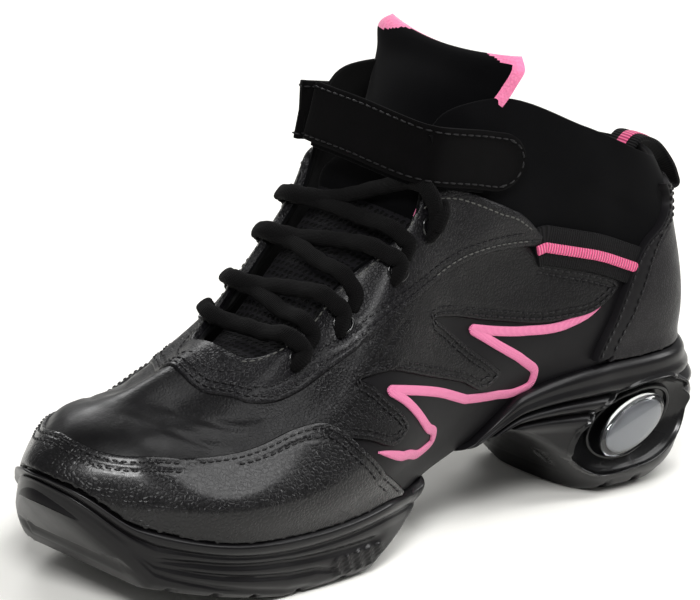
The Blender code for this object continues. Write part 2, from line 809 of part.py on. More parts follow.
def band(name, ribs, low, high, steps, thickness, finish, gap=OVERLAY_GAP):
    """An overlay along the ribs, between a lower and an upper edge given for each of them."""
    share = np.linspace(0.0, 1.0, steps)
    around = np.repeat(ribs[:, None], steps, axis=1)
    up = low[:, None] + (high - low)[:, None] * share[None, :]
    outer = upper_offset(around, up, gap + thickness)
    inner = upper_offset(around, up, gap)
    faces = grid_faces(len(ribs), steps)
    count = len(ribs) * steps
    faces += [tuple(reversed(face)) for face in grid_faces(len(ribs), steps, start=count)]
    faces += rim_faces(len(ribs), steps)
    return add_object(name, np.concatenate([outer.reshape(-1, 3), inner.reshape(-1, 3)]), faces, finish)


def spread(last, step):
    """Ribs from -last to last round the toe, with the upper's own ribs between them."""
    inside = np.arange(0.0, last - 0.1, step)
    half = np.append(inside, last)
    return np.concatenate([-half[:0:-1], half])


def inside(point, outline):
    """Whether a point lies inside an outline."""
    x, y = point
    found = False
    for (ax, ay), (bx, by) in zip(outline, outline[1:] + outline[:1]):
        if (ay > y) != (by > y) and x < ax + (y - ay) / (by - ay) * (bx - ax):
            found = not found
    return found


def finer(outline):
    """The outline with further points, so that none of its steps is longer than the upper's own columns."""
    found = []
    for (ax, ay), (bx, by) in zip(outline, outline[1:] + outline[:1]):
        count = max(1, math.ceil(math.hypot(bx - ax, by - ay) * STEPS_PER_RIB - 0.2))
        found += [(ax + (bx - ax) * k / count, ay + (by - ay) * k / count) for k in range(count)]
    return found


def build_quarter(finish):
    """The vamp and both quarters in one piece: its outline over ribs and guides, filled with triangles."""
    upper_edge = [(rib, up - SEAM) for rib, up, _ in EYESTAY_ROWS[:-1]]
    upper_edge += [(rib, up - SEAM) for rib, up in QUARTER_TOP]
    guard = [(row[0], row[2] + SEAM) for row in GUARD_ROWS if row[0] <= 3.4]
    half = upper_edge + list(ZIGZAG) + guard[::-1]
    outline = finer(half + [(-r, u) for r, u in half[-2:0:-1]])
    columns = np.arange(-7.0, 7.01, 1.0 / STEPS_PER_RIB)
    points = [(r, u) for r in columns for u in UPPER_ROWS if inside((r, u), outline)]
    far = [
        (r, u)
        for r, u in points
        if min(math.hypot(r - a, u - b) for a, b in outline) > 0.10
    ]
    flat = [Vector(point) for point in outline + far]
    edges = [(k, (k + 1) % len(outline)) for k in range(len(outline))]
    found, _, faces, _, _, _ = geometry.delaunay_2d_cdt(flat, edges, [], 1, 1e-5)
    faces = [
        tuple(face)
        for face in faces
        if inside(tuple(sum((found[k] for k in face), Vector((0.0, 0.0))) / 3), outline)
    ]
    around = np.array([point.x for point in found])
    up = np.array([point.y for point in found])
    outer = upper_offset(around, up, OVERLAY_GAP + QUARTER_THICKNESS)
    inner = upper_offset(around, up, OVERLAY_GAP)
    count = len(found)
    border = {}
    for face in faces:
        for a, b in zip(face, face[1:] + face[:1]):
            border[(a, b)] = (b, a) not in border
            if (b, a) in border:
                border[(b, a)] = False
    walls = [(a, b, b + count, a + count) for (a, b), open_edge in border.items() if open_edge]
    faces += [tuple(k + count for k in reversed(face)) for face in faces] + walls
    return add_object("quarter", np.concatenate([outer, inner]), faces, finish)


def build_overlays(leather, tape_finish):
    ribs = spread(GUARD_ROWS[-1][0], 1.0 / STEPS_PER_RIB)
    at = np.abs(ribs)
    low = np.interp(at, column(GUARD_ROWS, 0), column(GUARD_ROWS, 1))
    high = np.interp(at, column(GUARD_ROWS, 0), column(GUARD_ROWS, 2))
    band("toe_guard", ribs, low, high, 5, GUARD_THICKNESS, leather, GUARD_GAP)

    ribs = spread(EYESTAY_ROWS[-1][0], 1.0 / STEPS_PER_RIB)
    at = np.abs(ribs)
    low = np.interp(at, column(EYESTAY_ROWS, 0), column(EYESTAY_ROWS, 1))
    high = np.interp(at, column(EYESTAY_ROWS, 0), column(EYESTAY_ROWS, 2))
    band("eyestay", ribs, low, high, 3, EYESTAY_THICKNESS, leather)

    build_quarter(leather)

    share = np.linspace(0.0, 1.0, 17)
    ups = column(COUNTER_FRONT, 0)
    fronts = column(COUNTER_FRONT, 1)
    around = fronts[:, None] + (RIBS - 2 * fronts)[:, None] * share[None, :]
    up = np.repeat(ups[:, None], len(share), axis=1)
    outer = upper_offset(around, up, COUNTER_GAP + COUNTER_THICKNESS)
    inner = upper_offset(around, up, COUNTER_GAP)
    n, m = around.shape
    faces = grid_faces(n, m) + [tuple(reversed(face)) for face in grid_faces(n, m, start=n * m)]
    faces += rim_faces(n, m)
    add_object("heel_counter", np.concatenate([outer.reshape(-1, 3), inner.reshape(-1, 3)]), faces, leather)

    for name, inner_side in (("tape_outer", False), ("tape_inner", True)):
        ribs = np.linspace(TAPE_ROWS[0][0], TAPE_ROWS[-1][0], 6)
        low = np.interp(ribs, column(TAPE_ROWS, 0), column(TAPE_ROWS, 1))
        high = np.interp(ribs, column(TAPE_ROWS, 0), column(TAPE_ROWS, 2))
        if inner_side:
            ribs = RIBS - ribs
        band(name, ribs, low, high, 3, TAPE_THICKNESS, tape_finish)


def cutter(made):
    made.hide_render = True
    made.display_type = "WIRE"
    return made


# Strap, pull loop and lace

# The strap's middle line, from its rounded tip on the outer side over the tongue to the inner side, and how far
# its upper edge leans back.
STRAP_PATH = (
    # x, y, z, lean
    (0.0480, 0.0295, 0.1145, 0.10),
    (0.0570, 0.0293, 0.1162, 0.10),
    (0.0670, 0.0294, 0.1183, 0.12),
    (0.0775, 0.0292, 0.1200, 0.14),
    (0.0856, 0.0258, 0.1212, 0.20),
    (0.0900, 0.0150, 0.1228, 0.28),
    (0.0905, 0.0000, 0.1238, 0.32),
    (0.0898, -0.0150, 0.1238, 0.28),
    (0.0862, -0.0290, 0.1225, 0.14),
    (0.0790, -0.0375, 0.1205, 0.04),
    (0.0680, -0.0405, 0.1185, 0.04),
    (0.0530, -0.0400, 0.1160, 0.06),
    (0.0380, -0.0395, 0.1130, 0.08),
)
# The pull loop's line in the shoe's middle plane, from inside the collar to its outside.
LOOP_PATH = (
    # x, z
    (-0.0210, 0.0945),
    (-0.0235, 0.1030),
    (-0.0280, 0.1075),
    (-0.0340, 0.1063),
    (-0.0405, 0.1010),
    (-0.0452, 0.0945),
    (-0.0465, 0.0905),
    (-0.0440, 0.0898),
    (-0.0410, 0.0930),
    (-0.0386, 0.0950),
    (-0.0372, 0.0925),
)
# The ribs of the eyelets on the outer and on the inner side, from the toe up.
EYELETS = (
    # outer, inner
    (2.58, 2.35),
    (3.28, 3.00),
    (3.94, 3.66),
    (4.45, 4.13),
)
EYELET_UP = 3.38
INNER_EYELET_UP = 3.72
LACE_END = ((4.57, 3.50), (4.60, 3.56))
LACE_LIFT = 0.0033
LACE_SIDES = 6
LACE_OVER_TONGUE = 0.0046


def sweep(name, line, across, half_width, half_thick, sides, power, ends, finish):
    """A band or a cord along a line. `across` is the direction of its width, `power` squares its section."""
    ahead = np.gradient(line, axis=0)
    ahead = ahead / np.linalg.norm(ahead, axis=1, keepdims=True)
    across = across - ahead * np.sum(across * ahead, axis=1, keepdims=True)
    across = across / np.linalg.norm(across, axis=1, keepdims=True)
    normal = np.cross(ahead, across)
    angle = (np.arange(sides) + 0.5) * 2 * math.pi / sides
    wide = np.sign(np.cos(angle)) * np.abs(np.cos(angle)) ** power
    thick = np.sign(np.sin(angle)) * np.abs(np.sin(angle)) ** power
    wide, thick = wide / np.abs(wide).max(), thick / np.abs(thick).max()
    rings = []
    for k in range(len(line)):
        ring = line[k] + np.outer(wide * half_width * ends[k], across[k])
        rings.append(ring + np.outer(thick * half_thick, normal[k]))
    count = sides
    faces = grid_faces_closed(len(rings), count)
    faces.append(tuple(range(count - 1, -1, -1)))
    faces.append(tuple((len(rings) - 1) * count + k for k in range(count)))
    return add_object(name, np.concatenate(rings), faces, finish)


def build_strap(finish):
    rows = np.array(STRAP_PATH)
    where = np.linspace(0.0, len(rows) - 1.0, 26)
    tip = np.array([0.0, 0.12, 0.3])
    where = np.concatenate([tip, where[1:]])
    line = curve_at(rows[:, :3], where)
    lean = np.interp(where, np.arange(len(rows)), rows[:, 3])
    across = np.stack([-lean, np.zeros_like(lean), np.ones_like(lean)], 1)
    ends = np.ones(len(where))
    ends[:3] = (0.45, 0.80, 0.97)
    sweep("ankle_strap", line, across, STRAP_WIDTH / 2, STRAP_THICKNESS / 2, 8, 0.35, ends, finish)


def build_loop(finish):
    rows = np.array([(x, 0.0, z) for x, z in LOOP_PATH])
    line = curve_at(rows, np.linspace(0.0, len(rows) - 1.0, 23))
    across = np.tile([0.0, 1.0, 0.0], (len(line), 1))
    sweep("pull_loop", line, across, LOOP_WIDTH / 2, LOOP_THICKNESS / 2, 8, 0.3, np.ones(len(line)), finish)


def throat_rib(x):
    """The rib of the outer side whose top edge is at X, from the throat's bottom to the collar's corner."""
    ribs = np.linspace(0.3, 4.9, 400)
    return float(np.interp(-x, -upper_place(ribs, 3.95)[:, 0], ribs))


def lace_lines():
    """The lace's middle lines: each bar from eyelet to eyelet, each diagonal up to the next bar, and the loose end."""
    height = OVERLAY_GAP + EYESTAY_THICKNESS + LACE_LIFT
    outer = [upper_offset(row[0], EYELET_UP, height) for row in EYELETS]
    inner = [upper_offset(RIBS - row[1], INNER_EYELET_UP, height) for row in EYELETS]

    def crossing(start, end):
        """A line over the near edge, over the tongue and over the far edge of the throat."""
        points = [start]
        for share in (0.12, 0.5, 0.88):
            rib = throat_rib(start[0] + (end[0] - start[0]) * share)
            if share == 0.5:
                points.append(tongue_section(rib, np.array([share]))[0] + TONGUE_NORMAL * LACE_OVER_TONGUE)
                continue
            on_outer = (start[1] > 0) == (share < 0.5)
            points.append(upper_offset(rib if on_outer else RIBS - rib, 3.93, height))
        return np.array(points + [end])

    lines = [crossing(start, end) for start, end in zip(inner, outer)]
    lines += [crossing(start, end) for start, end in zip(outer, inner[1:])]
    loose = [outer[-1]] + [upper_offset(rib, up, height) for rib, up in LACE_END]
    return lines + [np.array(loose)]


def build_lace(finish):
    pieces = []
    for k, points in enumerate(lace_lines()):
        line = curve_at(points, np.linspace(0.0, len(points) - 1.0, 2 * len(points) - 1))
        across = np.cross(np.tile(TONGUE_NORMAL, (len(line), 1)), np.gradient(line, axis=0))
        name = "lace" if k == 0 else f"lace_{k}"
        ends = np.ones(len(line))
        pieces.append(
            sweep(name, line, across, LACE_WIDTH / 2, LACE_THICKNESS / 2, LACE_SIDES, 0.8, ends, finish)
        )
    count = len(EYELETS)
    for k in range(1, count):
        boolean(pieces[0], pieces[count + k - 1], "UNION")
        boolean(pieces[0], pieces[k], "UNION")
    boolean(pieces[0], pieces[-1], "UNION")


# Grooves and windows of the soles

FORE_GROOVES = (0.120, 0.138, 0.156, 0.174)
HEEL_GROOVES = (-0.016, -0.004)
WINDOW_CENTRE = (-0.010, 0.0225)
WINDOW_SIDE = {"outer": 0.0258, "inner": -0.0248}


def ellipsoid(name, centre, sizes, tilt, finish, segments=24, rings=10):
    mesh = bpy.data.meshes.new(name)
    shape = bmesh.new()
    bmesh.ops.create_uvsphere(shape, u_segments=segments, v_segments=rings, radius=1.0)
    turn = Matrix.Rotation(math.pi / 2, 4, "X")
    bmesh.ops.transform(shape, matrix=turn, verts=shape.verts)
    bmesh.ops.scale(shape, vec=Vector(sizes), verts=shape.verts)
    bmesh.ops.transform(shape, matrix=Matrix.Rotation(tilt, 4, "Y"), verts=shape.verts)
    bmesh.ops.translate(shape, vec=Vector(centre), verts=shape.verts)
    shape.to_mesh(mesh)
    shape.free()
    mesh.materials.append(finish)
    mesh.shade_smooth()
    made = bpy.data.objects.new(name, mesh)
    bpy.context.scene.collection.objects.link(made)
    return made


def box(name, centre, sizes):
    x, y, z = (size / 2 for size in sizes)
    points = [
        (centre[0] + a * x, centre[1] + b * y, centre[2] + c * z) for a in (-1, 1) for b in (-1, 1) for c in (-1, 1)
    ]
    faces = [(0, 1, 3, 2), (4, 6, 7, 5), (0, 4, 5, 1), (2, 3, 7, 6), (0, 2, 6, 4), (1, 5, 7, 3)]
    return cutter(add_object(name, points, faces, material(name, (0.5, 0.5, 0.5), 0.5)))


def cut_grooves(sole, places, tread):
    for k, place in enumerate(places):
        top = tread(np.array(place + HEEL_REST)) + TREAD_DEPTH
        depth = 0.020
        tool = box(f"groove_{k}", (place, 0.0, float(top) - depth / 2), (TREAD_GROOVE, 0.140, depth))
        boolean(sole, tool, "DIFFERENCE")


def build_windows(sole, clear):
    x, z = WINDOW_CENTRE
    for side, face in WINDOW_SIDE.items():
        out = math.copysign(1.0, face)
        sizes = (WINDOW_LENGTH / 2, 0.012, WINDOW_HEIGHT / 2)
        dish = ellipsoid(f"dish_{side}", (x, face + out * 0.012, z), sizes, WINDOW_TILT, clear)
        boolean(sole, cutter(dish), "DIFFERENCE")
        sizes = (CAPSULE_LENGTH / 2, CAPSULE_DEPTH / 2, CAPSULE_HEIGHT / 2)
        centre = (x, face + out * (CAPSULE_DEPTH / 2 + 0.0007), z)
        ellipsoid(f"capsule_{side}", centre, sizes, WINDOW_TILT, clear, 14, 7)


def build_all():
    for old in list(bpy.data.objects):
        bpy.data.objects.remove(old)
    leather = material("soft_leather", (0.014, 0.013, 0.014), 0.6)
    pebbled = material("pebbled_leather", (0.022, 0.021, 0.023), 0.5)
    rubber = material("black_rubber", (0.018, 0.017, 0.020), 0.42)
    foam = material("insole_foam", (0.015, 0.015, 0.017), 0.9)
    nubuck = material("nubuck", (0.005, 0.005, 0.006), 0.9)
    webbing = material("webbing", (0.012, 0.011, 0.013), 0.8)
    cord = material("lace_cord", (0.010, 0.010, 0.011), 0.85)
    clear = material("clear_capsule", (0.75, 0.76, 0.80), 0.05, transmission=0.9)
    build_upper(leather)
    cuts = (FORE_CUT_LOW, FORE_CUT_HIGH)
    fore = build_sole("sole_forefoot", 0, cuts, FORE_WALL, fore_tread, fore_rim, (20, 5), rubber)
    cuts = (HEEL_CUT_LOW, HEEL_CUT_HIGH)
    heel = build_sole("sole_heel", HEEL_RIB, cuts, HEEL_WALL, heel_tread, heel_rim, (18, 5), rubber)
    cut_grooves(fore, FORE_GROOVES, fore_tread)
    cut_grooves(heel, HEEL_GROOVES, heel_tread)
    build_windows(heel, clear)
    build_insole(foam)
    build_tongue(nubuck)
    build_overlays(pebbled, webbing)
    build_strap(nubuck)
    build_loop(webbing)
    build_lace(cord)
    level = Matrix.Rotation(-PITCH, 4, "Y") @ Matrix.Translation((FLAT_SPOT_BACK, 0.0, 0.0))
    for piece in bpy.data.objects:
        piece.matrix_world = level @ piece.matrix_world


build_all()
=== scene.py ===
"""The looks of a black dance sneaker with a split sole, an ankle strap and pink trim.

The shoe is the left one and stands on a pale floor. +X is the toe, +Y the outer side, and all lengths are
metres. Its surface comes from the sections of the last: RIBS stations round the foot, and guides that run
from the sole up to the edge of the throat and collar. Each panel, seam and trim lies on that surface.
"""

import math

import bmesh
import bpy
import numpy as np
from mathutils import Matrix, Vector, geometry, kdtree


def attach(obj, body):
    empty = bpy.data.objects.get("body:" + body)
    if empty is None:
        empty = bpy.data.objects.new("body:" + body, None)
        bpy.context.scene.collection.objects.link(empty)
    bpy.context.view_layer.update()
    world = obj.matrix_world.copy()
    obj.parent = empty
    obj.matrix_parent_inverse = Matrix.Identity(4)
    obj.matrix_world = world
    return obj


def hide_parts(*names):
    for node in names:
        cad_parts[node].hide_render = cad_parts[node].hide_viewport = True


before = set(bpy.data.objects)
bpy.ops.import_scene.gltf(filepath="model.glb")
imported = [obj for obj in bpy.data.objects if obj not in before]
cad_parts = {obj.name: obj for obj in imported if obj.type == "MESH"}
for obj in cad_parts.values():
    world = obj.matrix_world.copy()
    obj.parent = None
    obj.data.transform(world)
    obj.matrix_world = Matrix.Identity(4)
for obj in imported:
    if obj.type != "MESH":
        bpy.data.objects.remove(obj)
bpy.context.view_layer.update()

bl_info = {
    "name": "Dance sneaker",
    "version": (1, 0, 0),
    "blender": (4, 5, 0),
    "location": "View3D > Sidebar > Sneaker",
    "description": "Builds the finished surfaces of a dance sneaker, piece by piece",
    "category": "Object",
}

MM = 0.001

# The last

LENGTH = 0.262
BALL_WIDTH = 0.088
HEEL_LIFT = 0.0425
BALL_LIFT = 0.0115
TOE_LIFT = 0.0275
TOE_LIFT_POWER = 3.1
UPPER_HEIGHT = 0.101
# From the back of the heel to the ankle's line, from which X counts in the tables here.
HEEL_REST = 0.042
# From the ankle's line back to the heel's flat spot, where the frame has its origin.
FLAT_SPOT_BACK = 0.022
# The foot leans forward on its last by this much; the finished pieces are turned level with the floor.
PITCH = math.radians(1.85)
LEVEL = Matrix.Rotation(-PITCH, 4, "Y") @ Matrix.Translation((FLAT_SPOT_BACK, 0.0, 0.0))
# How far the upper's shell lies inside the guides, which run over its overlays.
SKIN = 0.0017
HALF_BALL = BALL_WIDTH / 2
WALL = 0.0020
COLLAR_PADDING = 0.0022

# Swing and lean of the centre line as shares of the half ball width, and the inner half's width as a share of
# the outer half's, from the toe to the heel.
STATIONS = (
    # name, swing, inner, lean
    ("toe", 0.06, 1.00, 0.00),
    ("cap", 0.08, 1.00, 0.00),
    ("joint", 0.06, 1.01, 0.00),
    ("ball", 0.02, 0.99, -0.02),
    ("waist", 0.04, 0.94, -0.05),
    ("shank", 0.02, 0.93, -0.13),
    ("instep", 0.00, 0.96, -0.12),
    ("ankle", 0.00, 1.00, -0.05),
    ("quarter", 0.02, 1.00, 0.00),
    ("heel", 0.00, 1.00, 0.00),
)
# A row for each station: the place along the length, the half width and the rise over the footbed, as shares
# of LENGTH, of the half ball width and of UPPER_HEIGHT.
GUIDES = (
    # at, half, rise: the feather line, where the upper meets the sole
    (
        (0.968, 0.00, 0.000),
        (0.914, 0.52, 0.000),
        (0.813, 0.83, 0.000),
        (0.688, 0.91, 0.000),
        (0.563, 0.82, 0.000),
        (0.441, 0.62, 0.000),
        (0.313, 0.59, 0.000),
        (0.186, 0.70, 0.000),
        (0.063, 0.63, 0.000),
        (0.004, 0.00, 0.000),
    ),
    # the swell, where the side is widest
    (
        (0.966, 0.00, 0.103),
        (0.909, 0.53, 0.113),
        (0.813, 0.92, 0.151),
        (0.687, 1.05, 0.151),
        (0.561, 0.95, 0.160),
        (0.439, 0.78, 0.180),
        (0.313, 0.75, 0.190),
        (0.190, 0.76, 0.190),
        (0.060, 0.66, 0.172),
        (0.005, 0.00, 0.160),
    ),
    # the shoulder, where the side turns into the top
    (
        (0.927, 0.00, 0.246),
        (0.884, 0.43, 0.276),
        (0.793, 0.71, 0.255),
        (0.678, 0.85, 0.326),
        (0.554, 0.84, 0.435),
        (0.435, 0.74, 0.460),
        (0.313, 0.72, 0.440),
        (0.190, 0.72, 0.431),
        (0.072, 0.59, 0.414),
        (0.017, 0.00, 0.383),
    ),
    # the crown, half way from the shoulder to the edge
    (
        (0.819, 0.00, 0.418),
        (0.794, 0.26, 0.382),
        (0.735, 0.50, 0.402),
        (0.644, 0.62, 0.450),
        (0.540, 0.72, 0.624),
        (0.427, 0.71, 0.698),
        (0.317, 0.70, 0.700),
        (0.193, 0.68, 0.661),
        (0.085, 0.52, 0.575),
        (0.037, 0.00, 0.539),
    ),
    # the edge of the throat and the collar
    (
        (0.711, 0.00, 0.529),
        (0.697, 0.28, 0.512),
        (0.646, 0.40, 0.557),
        (0.586, 0.43, 0.682),
        (0.503, 0.58, 0.826),
        (0.445, 0.62, 1.083),
        (0.366, 0.63, 1.046),
        (0.232, 0.64, 0.836),
        (0.106, 0.52, 0.651),
        (0.047, 0.00, 0.622),
    ),
)
RIBS = 2 * (len(STATIONS) - 1)
HEEL_RIB = RIBS // 2
EDGE = len(GUIDES) - 1


def along(share):
    """A place along the length, from the back of the sole, as X."""
    return share * LENGTH - HEEL_REST


def smooth(value):
    """Eases from 0 to 1."""
    value = np.clip(value, 0.0, 1.0)
    return value * value * (3.0 - 2.0 * value)


def unit(directions):
    """The same directions, each of length 1."""
    return directions / np.maximum(np.linalg.norm(directions, axis=-1, keepdims=True), 1e-12)


def footbed(x):
    """Height of the footbed at X: high under the heel, low at the ball and lifted at the toe."""
    seat, ball, tip = along(0.08), along(0.67), along(0.98)
    back = (HEEL_LIFT - BALL_LIFT) * smooth((ball - x) / (ball - seat))
    front = (TOE_LIFT - BALL_LIFT) * np.clip((x - ball) / (tip - ball), 0.0, 1.2) ** TOE_LIFT_POWER
    return BALL_LIFT + back + front


def guide_points(guide):
    """The control points of one guide line, rib by rib round the shoe."""
    outer, inner = [], []
    for (_, swing, narrow, lean), (at, half, rise) in zip(STATIONS, guide):
        x = along(at)
        z = footbed(x) + rise * UPPER_HEIGHT
        middle = (swing + lean * rise) * HALF_BALL
        outer.append((x, middle + half * HALF_BALL, z))
        inner.append((x, middle - half * narrow * HALF_BALL, z))
    return np.array(outer + inner[-2:0:-1])


def slopes_of(chord, length, closed):
    """The slope at each point of a line, from its chords and their lengths."""
    slope = chord / length
    if closed:
        before, reach = np.roll(slope, 1, 0), np.roll(length, 1, 0)
        return (before * length + slope * reach) / (length + reach)
    middle = (slope[:-1] * length[1:] + slope[1:] * length[:-1]) / (length[1:] + length[:-1])
    return np.concatenate([1.5 * slope[:1] - 0.5 * middle[:1], middle, 1.5 * slope[-1:] - 0.5 * middle[-1:]])


def hermite(first, second, leave, arrive, part):
    """A place on the smooth span between two points with given slopes."""
    cube, square = part**3, part**2
    return (
        (2 * cube - 3 * square + 1) * first
        + (cube - 2 * square + part) * leave
        + (3 * square - 2 * cube) * second
        + (cube - square) * arrive
    )


def curve_at(points, where, closed=False):
    """Places on the smooth curve through points, where whole numbers are the points themselves."""
    points = np.asarray(points, float)
    where = np.asarray(where, float)
    chord = np.roll(points, -1, 0) - points if closed else np.diff(points, axis=0)
    length = np.maximum(np.linalg.norm(chord, axis=-1, keepdims=True), 1e-9)
    slope = slopes_of(chord, length, closed)
    spans = len(length)
    first = np.floor(where).astype(int)
    first = first % spans if closed else np.clip(first, 0, spans - 1)
    part = (where - np.floor(where) if closed else where - first)[..., None]
    second = (first + 1) % len(points)
    reach = length[first]
    return hermite(points[first], points[second], reach * slope[first], reach * slope[second], part)


GUIDE_POINTS = [guide_points(guide) for guide in GUIDES]


def upper_place(around, up):
    """The outside of the upper at rib `around` and guide `up`, which may be fractions and arrays."""
    around, up = np.broadcast_arrays(np.asarray(around, float), np.asarray(up, float))
    ribs = np.stack([curve_at(points, around.reshape(-1), closed=True) for points in GUIDE_POINTS])
    flat = np.clip(up.reshape(-1), 0.0, EDGE)
    chord = np.diff(ribs, axis=0)
    length = np.maximum(np.linalg.norm(chord, axis=-1, keepdims=True), 1e-9)
    slope = slopes_of(chord, length, False)
    first = np.clip(np.floor(flat).astype(int), 0, EDGE - 1)
    column = np.arange(len(flat))
    reach = length[first, column]
    leave, arrive = reach * slope[first, column], reach * slope[first + 1, column]
    part = (flat - first)[:, None]
    places = hermite(ribs[first, column], ribs[first + 1, column], leave, arrive, part)
    return places.reshape(around.shape + (3,))


def upper_normal(around, up):
    """The outward direction of the upper."""
    around, up = np.broadcast_arrays(np.asarray(around, float), np.asarray(up, float))
    step = 0.02
    across = upper_place(around + step, up) - upper_place(around - step, up)
    low, high = np.clip(up - step, 0, EDGE), np.clip(up + step, 0, EDGE)
    upward = upper_place(around, high) - upper_place(around, low)
    return unit(np.cross(across, upward))


# Soft folds of the worn-in leather: where each runs on the surface, its width in guides, and its depth.
CREASES = (
    # rib and guide at both ends, width, depth
    (0.6, 2.9, 2.6, 2.55, 0.10, 0.00045),
    (0.3, 2.5, 2.2, 2.30, 0.08, 0.00030),
    (3.4, 2.25, 4.3, 2.55, 0.09, 0.00030),
    (5.9, 3.10, 7.6, 2.35, 0.16, 0.00060),
    (5.6, 3.45, 6.9, 2.95, 0.14, 0.00040),
)


def folds(around, up):
    """How far the leather lies under its plain surface, in its creases, or over it beside them."""
    around = np.asarray(around, float)
    side = np.abs((around + HEEL_RIB) % RIBS - HEEL_RIB)
    total = np.zeros(np.broadcast(side, up).shape)
    for rib_a, up_a, rib_b, up_b, width, depth in CREASES:
        share = (side - rib_a) / (rib_b - rib_a)
        line = up_a + (up_b - up_a) * share + 0.05 * np.sin(5.0 * share + rib_a)
        fade = smooth(share * 4.0) * smooth((1.0 - share) * 4.0)
        away = (up - line) / width
        total = total - depth * fade * (1.0 - 1.2 * away**2) * np.exp(-(away**2))
    return total


def under_overlays(around, up):
    """How far the shell lies inside the guides: not at all in the collar and at the feather line."""
    from_heel = np.abs(np.asarray(around, float) % RIBS - HEEL_RIB)
    collar = smooth((4.3 - from_heel) / 0.8) * smooth((np.asarray(up, float) - 2.4) / 0.6)
    return SKIN * (1.0 - collar) * smooth(np.asarray(up, float) / 0.6)


def upper_offset(around, up, out):
    """A place `out` metres outside the upper's shell, or inside it where `out` is negative."""
    out = np.asarray(out, float) + folds(around, up) - under_overlays(around, up)
    return upper_place(around, up) + out[..., None] * upper_normal(around, up)


def padding(around, up):
    """The wall's thickness: the leather's, with the foam that fills the collar."""
    from_heel = np.abs(np.asarray(around, float) % RIBS - HEEL_RIB)
    collar = smooth((3.6 - from_heel) / 0.8)
    high = smooth((np.asarray(up, float) - 2.3) / 1.2)
    lip = 1.0 - 0.55 * smooth((np.asarray(up, float) - 3.7) / 0.3)
    return (WALL + COLLAR_PADDING * collar * high) * lip


def feather(around):
    """The line where the upper meets the sole."""
    return upper_place(around, 0.0)


def feather_outward(around):
    """The direction out of the foot's outline, level with the floor."""
    around = np.asarray(around, float)
    ahead = feather(around + 0.03) - feather(around - 0.03)
    flat = unit(np.stack([ahead[..., 1], -ahead[..., 0]], -1))
    return np.concatenate([flat, np.zeros(flat.shape[:-1] + (1,))], -1)


def underside(x):
    """Height of the upper's underside at X."""
    ribs = np.linspace(0.0, HEEL_RIB, 400)
    lines = (feather(ribs), feather((RIBS - ribs) % RIBS))
    outer, inner = (np.interp(-x, -line[:, 0], line[:, 2]) for line in lines)
    return np.minimum(outer, inner)


def level_at(around, height):
    """How far up the guides the upper's surface is `height` over its feather line."""
    levels = np.linspace(0.0, 2.0, 81)
    rises = upper_place(np.asarray(around)[:, None], levels[None, :])[..., 2]
    rises = np.maximum.accumulate(rises - rises[:, :1], axis=1)
    return np.array([np.interp(h, rise, levels) for h, rise in zip(height, rises)])


# Meshes


def levelled(points):
    """Places of the ankle's frame in the finished shoe's frame."""
    turn = np.array(LEVEL)
    return np.asarray(points, float) @ turn[:3, :3].T + turn[:3, 3]


def add_piece(name, points, faces, finish, node=None, coords=None, smooth_angle=40.0, slots=None):
    """A piece from points of the ankle's frame, with its faces turned outwards, riding on the shoe.

    `node` is the CAD solid that it replaces, `coords` are places along and across it for its finish, and
    `slots` gives each face its finish where `finish` is a list.
    """
    mesh = bpy.data.meshes.new(name)
    points = levelled(points)
    mesh.from_pydata(points.tolist(), [], faces)
    if slots is not None:
        mesh.polygons.foreach_set("material_index", slots)
    if coords is not None:
        layer = mesh.attributes.new("along_across", "FLOAT_VECTOR", "POINT")
        flat = np.zeros((len(points), 3), np.float32)
        flat[:, :2] = coords
        layer.data.foreach_set("vector", flat.reshape(-1))
    shape = bmesh.new()
    shape.from_mesh(mesh)
    bmesh.ops.remove_doubles(shape, verts=shape.verts, dist=1e-6)
    bmesh.ops.recalc_face_normals(shape, faces=shape.faces)
    if shape.calc_volume(signed=True) < 0:
        bmesh.ops.reverse_faces(shape, faces=shape.faces)
    shape.to_mesh(mesh)
    shape.free()
    for one in finish if isinstance(finish, list) else [finish]:
        mesh.materials.append(one)
    mesh.shade_smooth()
    mesh.set_sharp_from_angle(angle=math.radians(smooth_angle))
    made = bpy.data.objects.new(name, mesh)
    bpy.context.scene.collection.objects.link(made)
    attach(made, "root")
    if node:
        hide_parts(*([node] if isinstance(node, str) else node))
    return made


def grid_faces(rows, columns, wrap=False, start=0):
    """Quads between neighbours of a grid stored row by row."""
    faces = []
    for i in range(rows if wrap else rows - 1):
        for j in range(columns - 1):
            a = start + i * columns + j
            b = start + (i + 1) % rows * columns + j
            faces.append((a, b, b + 1, a + 1))
    return faces


def tube_faces(rings, count, start=0, caps=True):
    """Quads between closed rings, with a face over each end."""
    faces = []
    for i in range(rings - 1):
        for j in range(count):
            k = (j + 1) % count
            a, b = start + i * count, start + (i + 1) * count
            faces.append((a + j, a + k, b + k, b + j))
    if caps:
        faces.append(tuple(start + k for k in range(count - 1, -1, -1)))
        faces.append(tuple(start + (rings - 1) * count + k for k in range(count)))
    return faces


def ring_faces(turns, sides, start=0):
    """Quads round a closed loop of rings, each of them closed too."""
    faces = []
    for i in range(turns):
        near, far = start + i * sides, start + (i + 1) % turns * sides
        for j in range(sides):
            k = (j + 1) % sides
            faces.append((near + j, far + j, far + k, near + k))
    return faces


def lengths_of(line):
    """The distance along a line at each of its points."""
    return np.concatenate([[0.0], np.cumsum(np.linalg.norm(np.diff(line, axis=0), axis=1))])


def read_at(where, reach, values):
    """The rows of `values`, which are known at the distances `reach`, read at other distances."""
    return np.stack([np.interp(where, reach, column) for column in values.T], -1)


def resample(line, step):
    """The line with points about `step` apart."""
    reach = lengths_of(line)
    count = max(2, int(round(reach[-1] / step)) + 1)
    at = np.linspace(0.0, reach[-1], count)
    return read_at(at, reach, line)


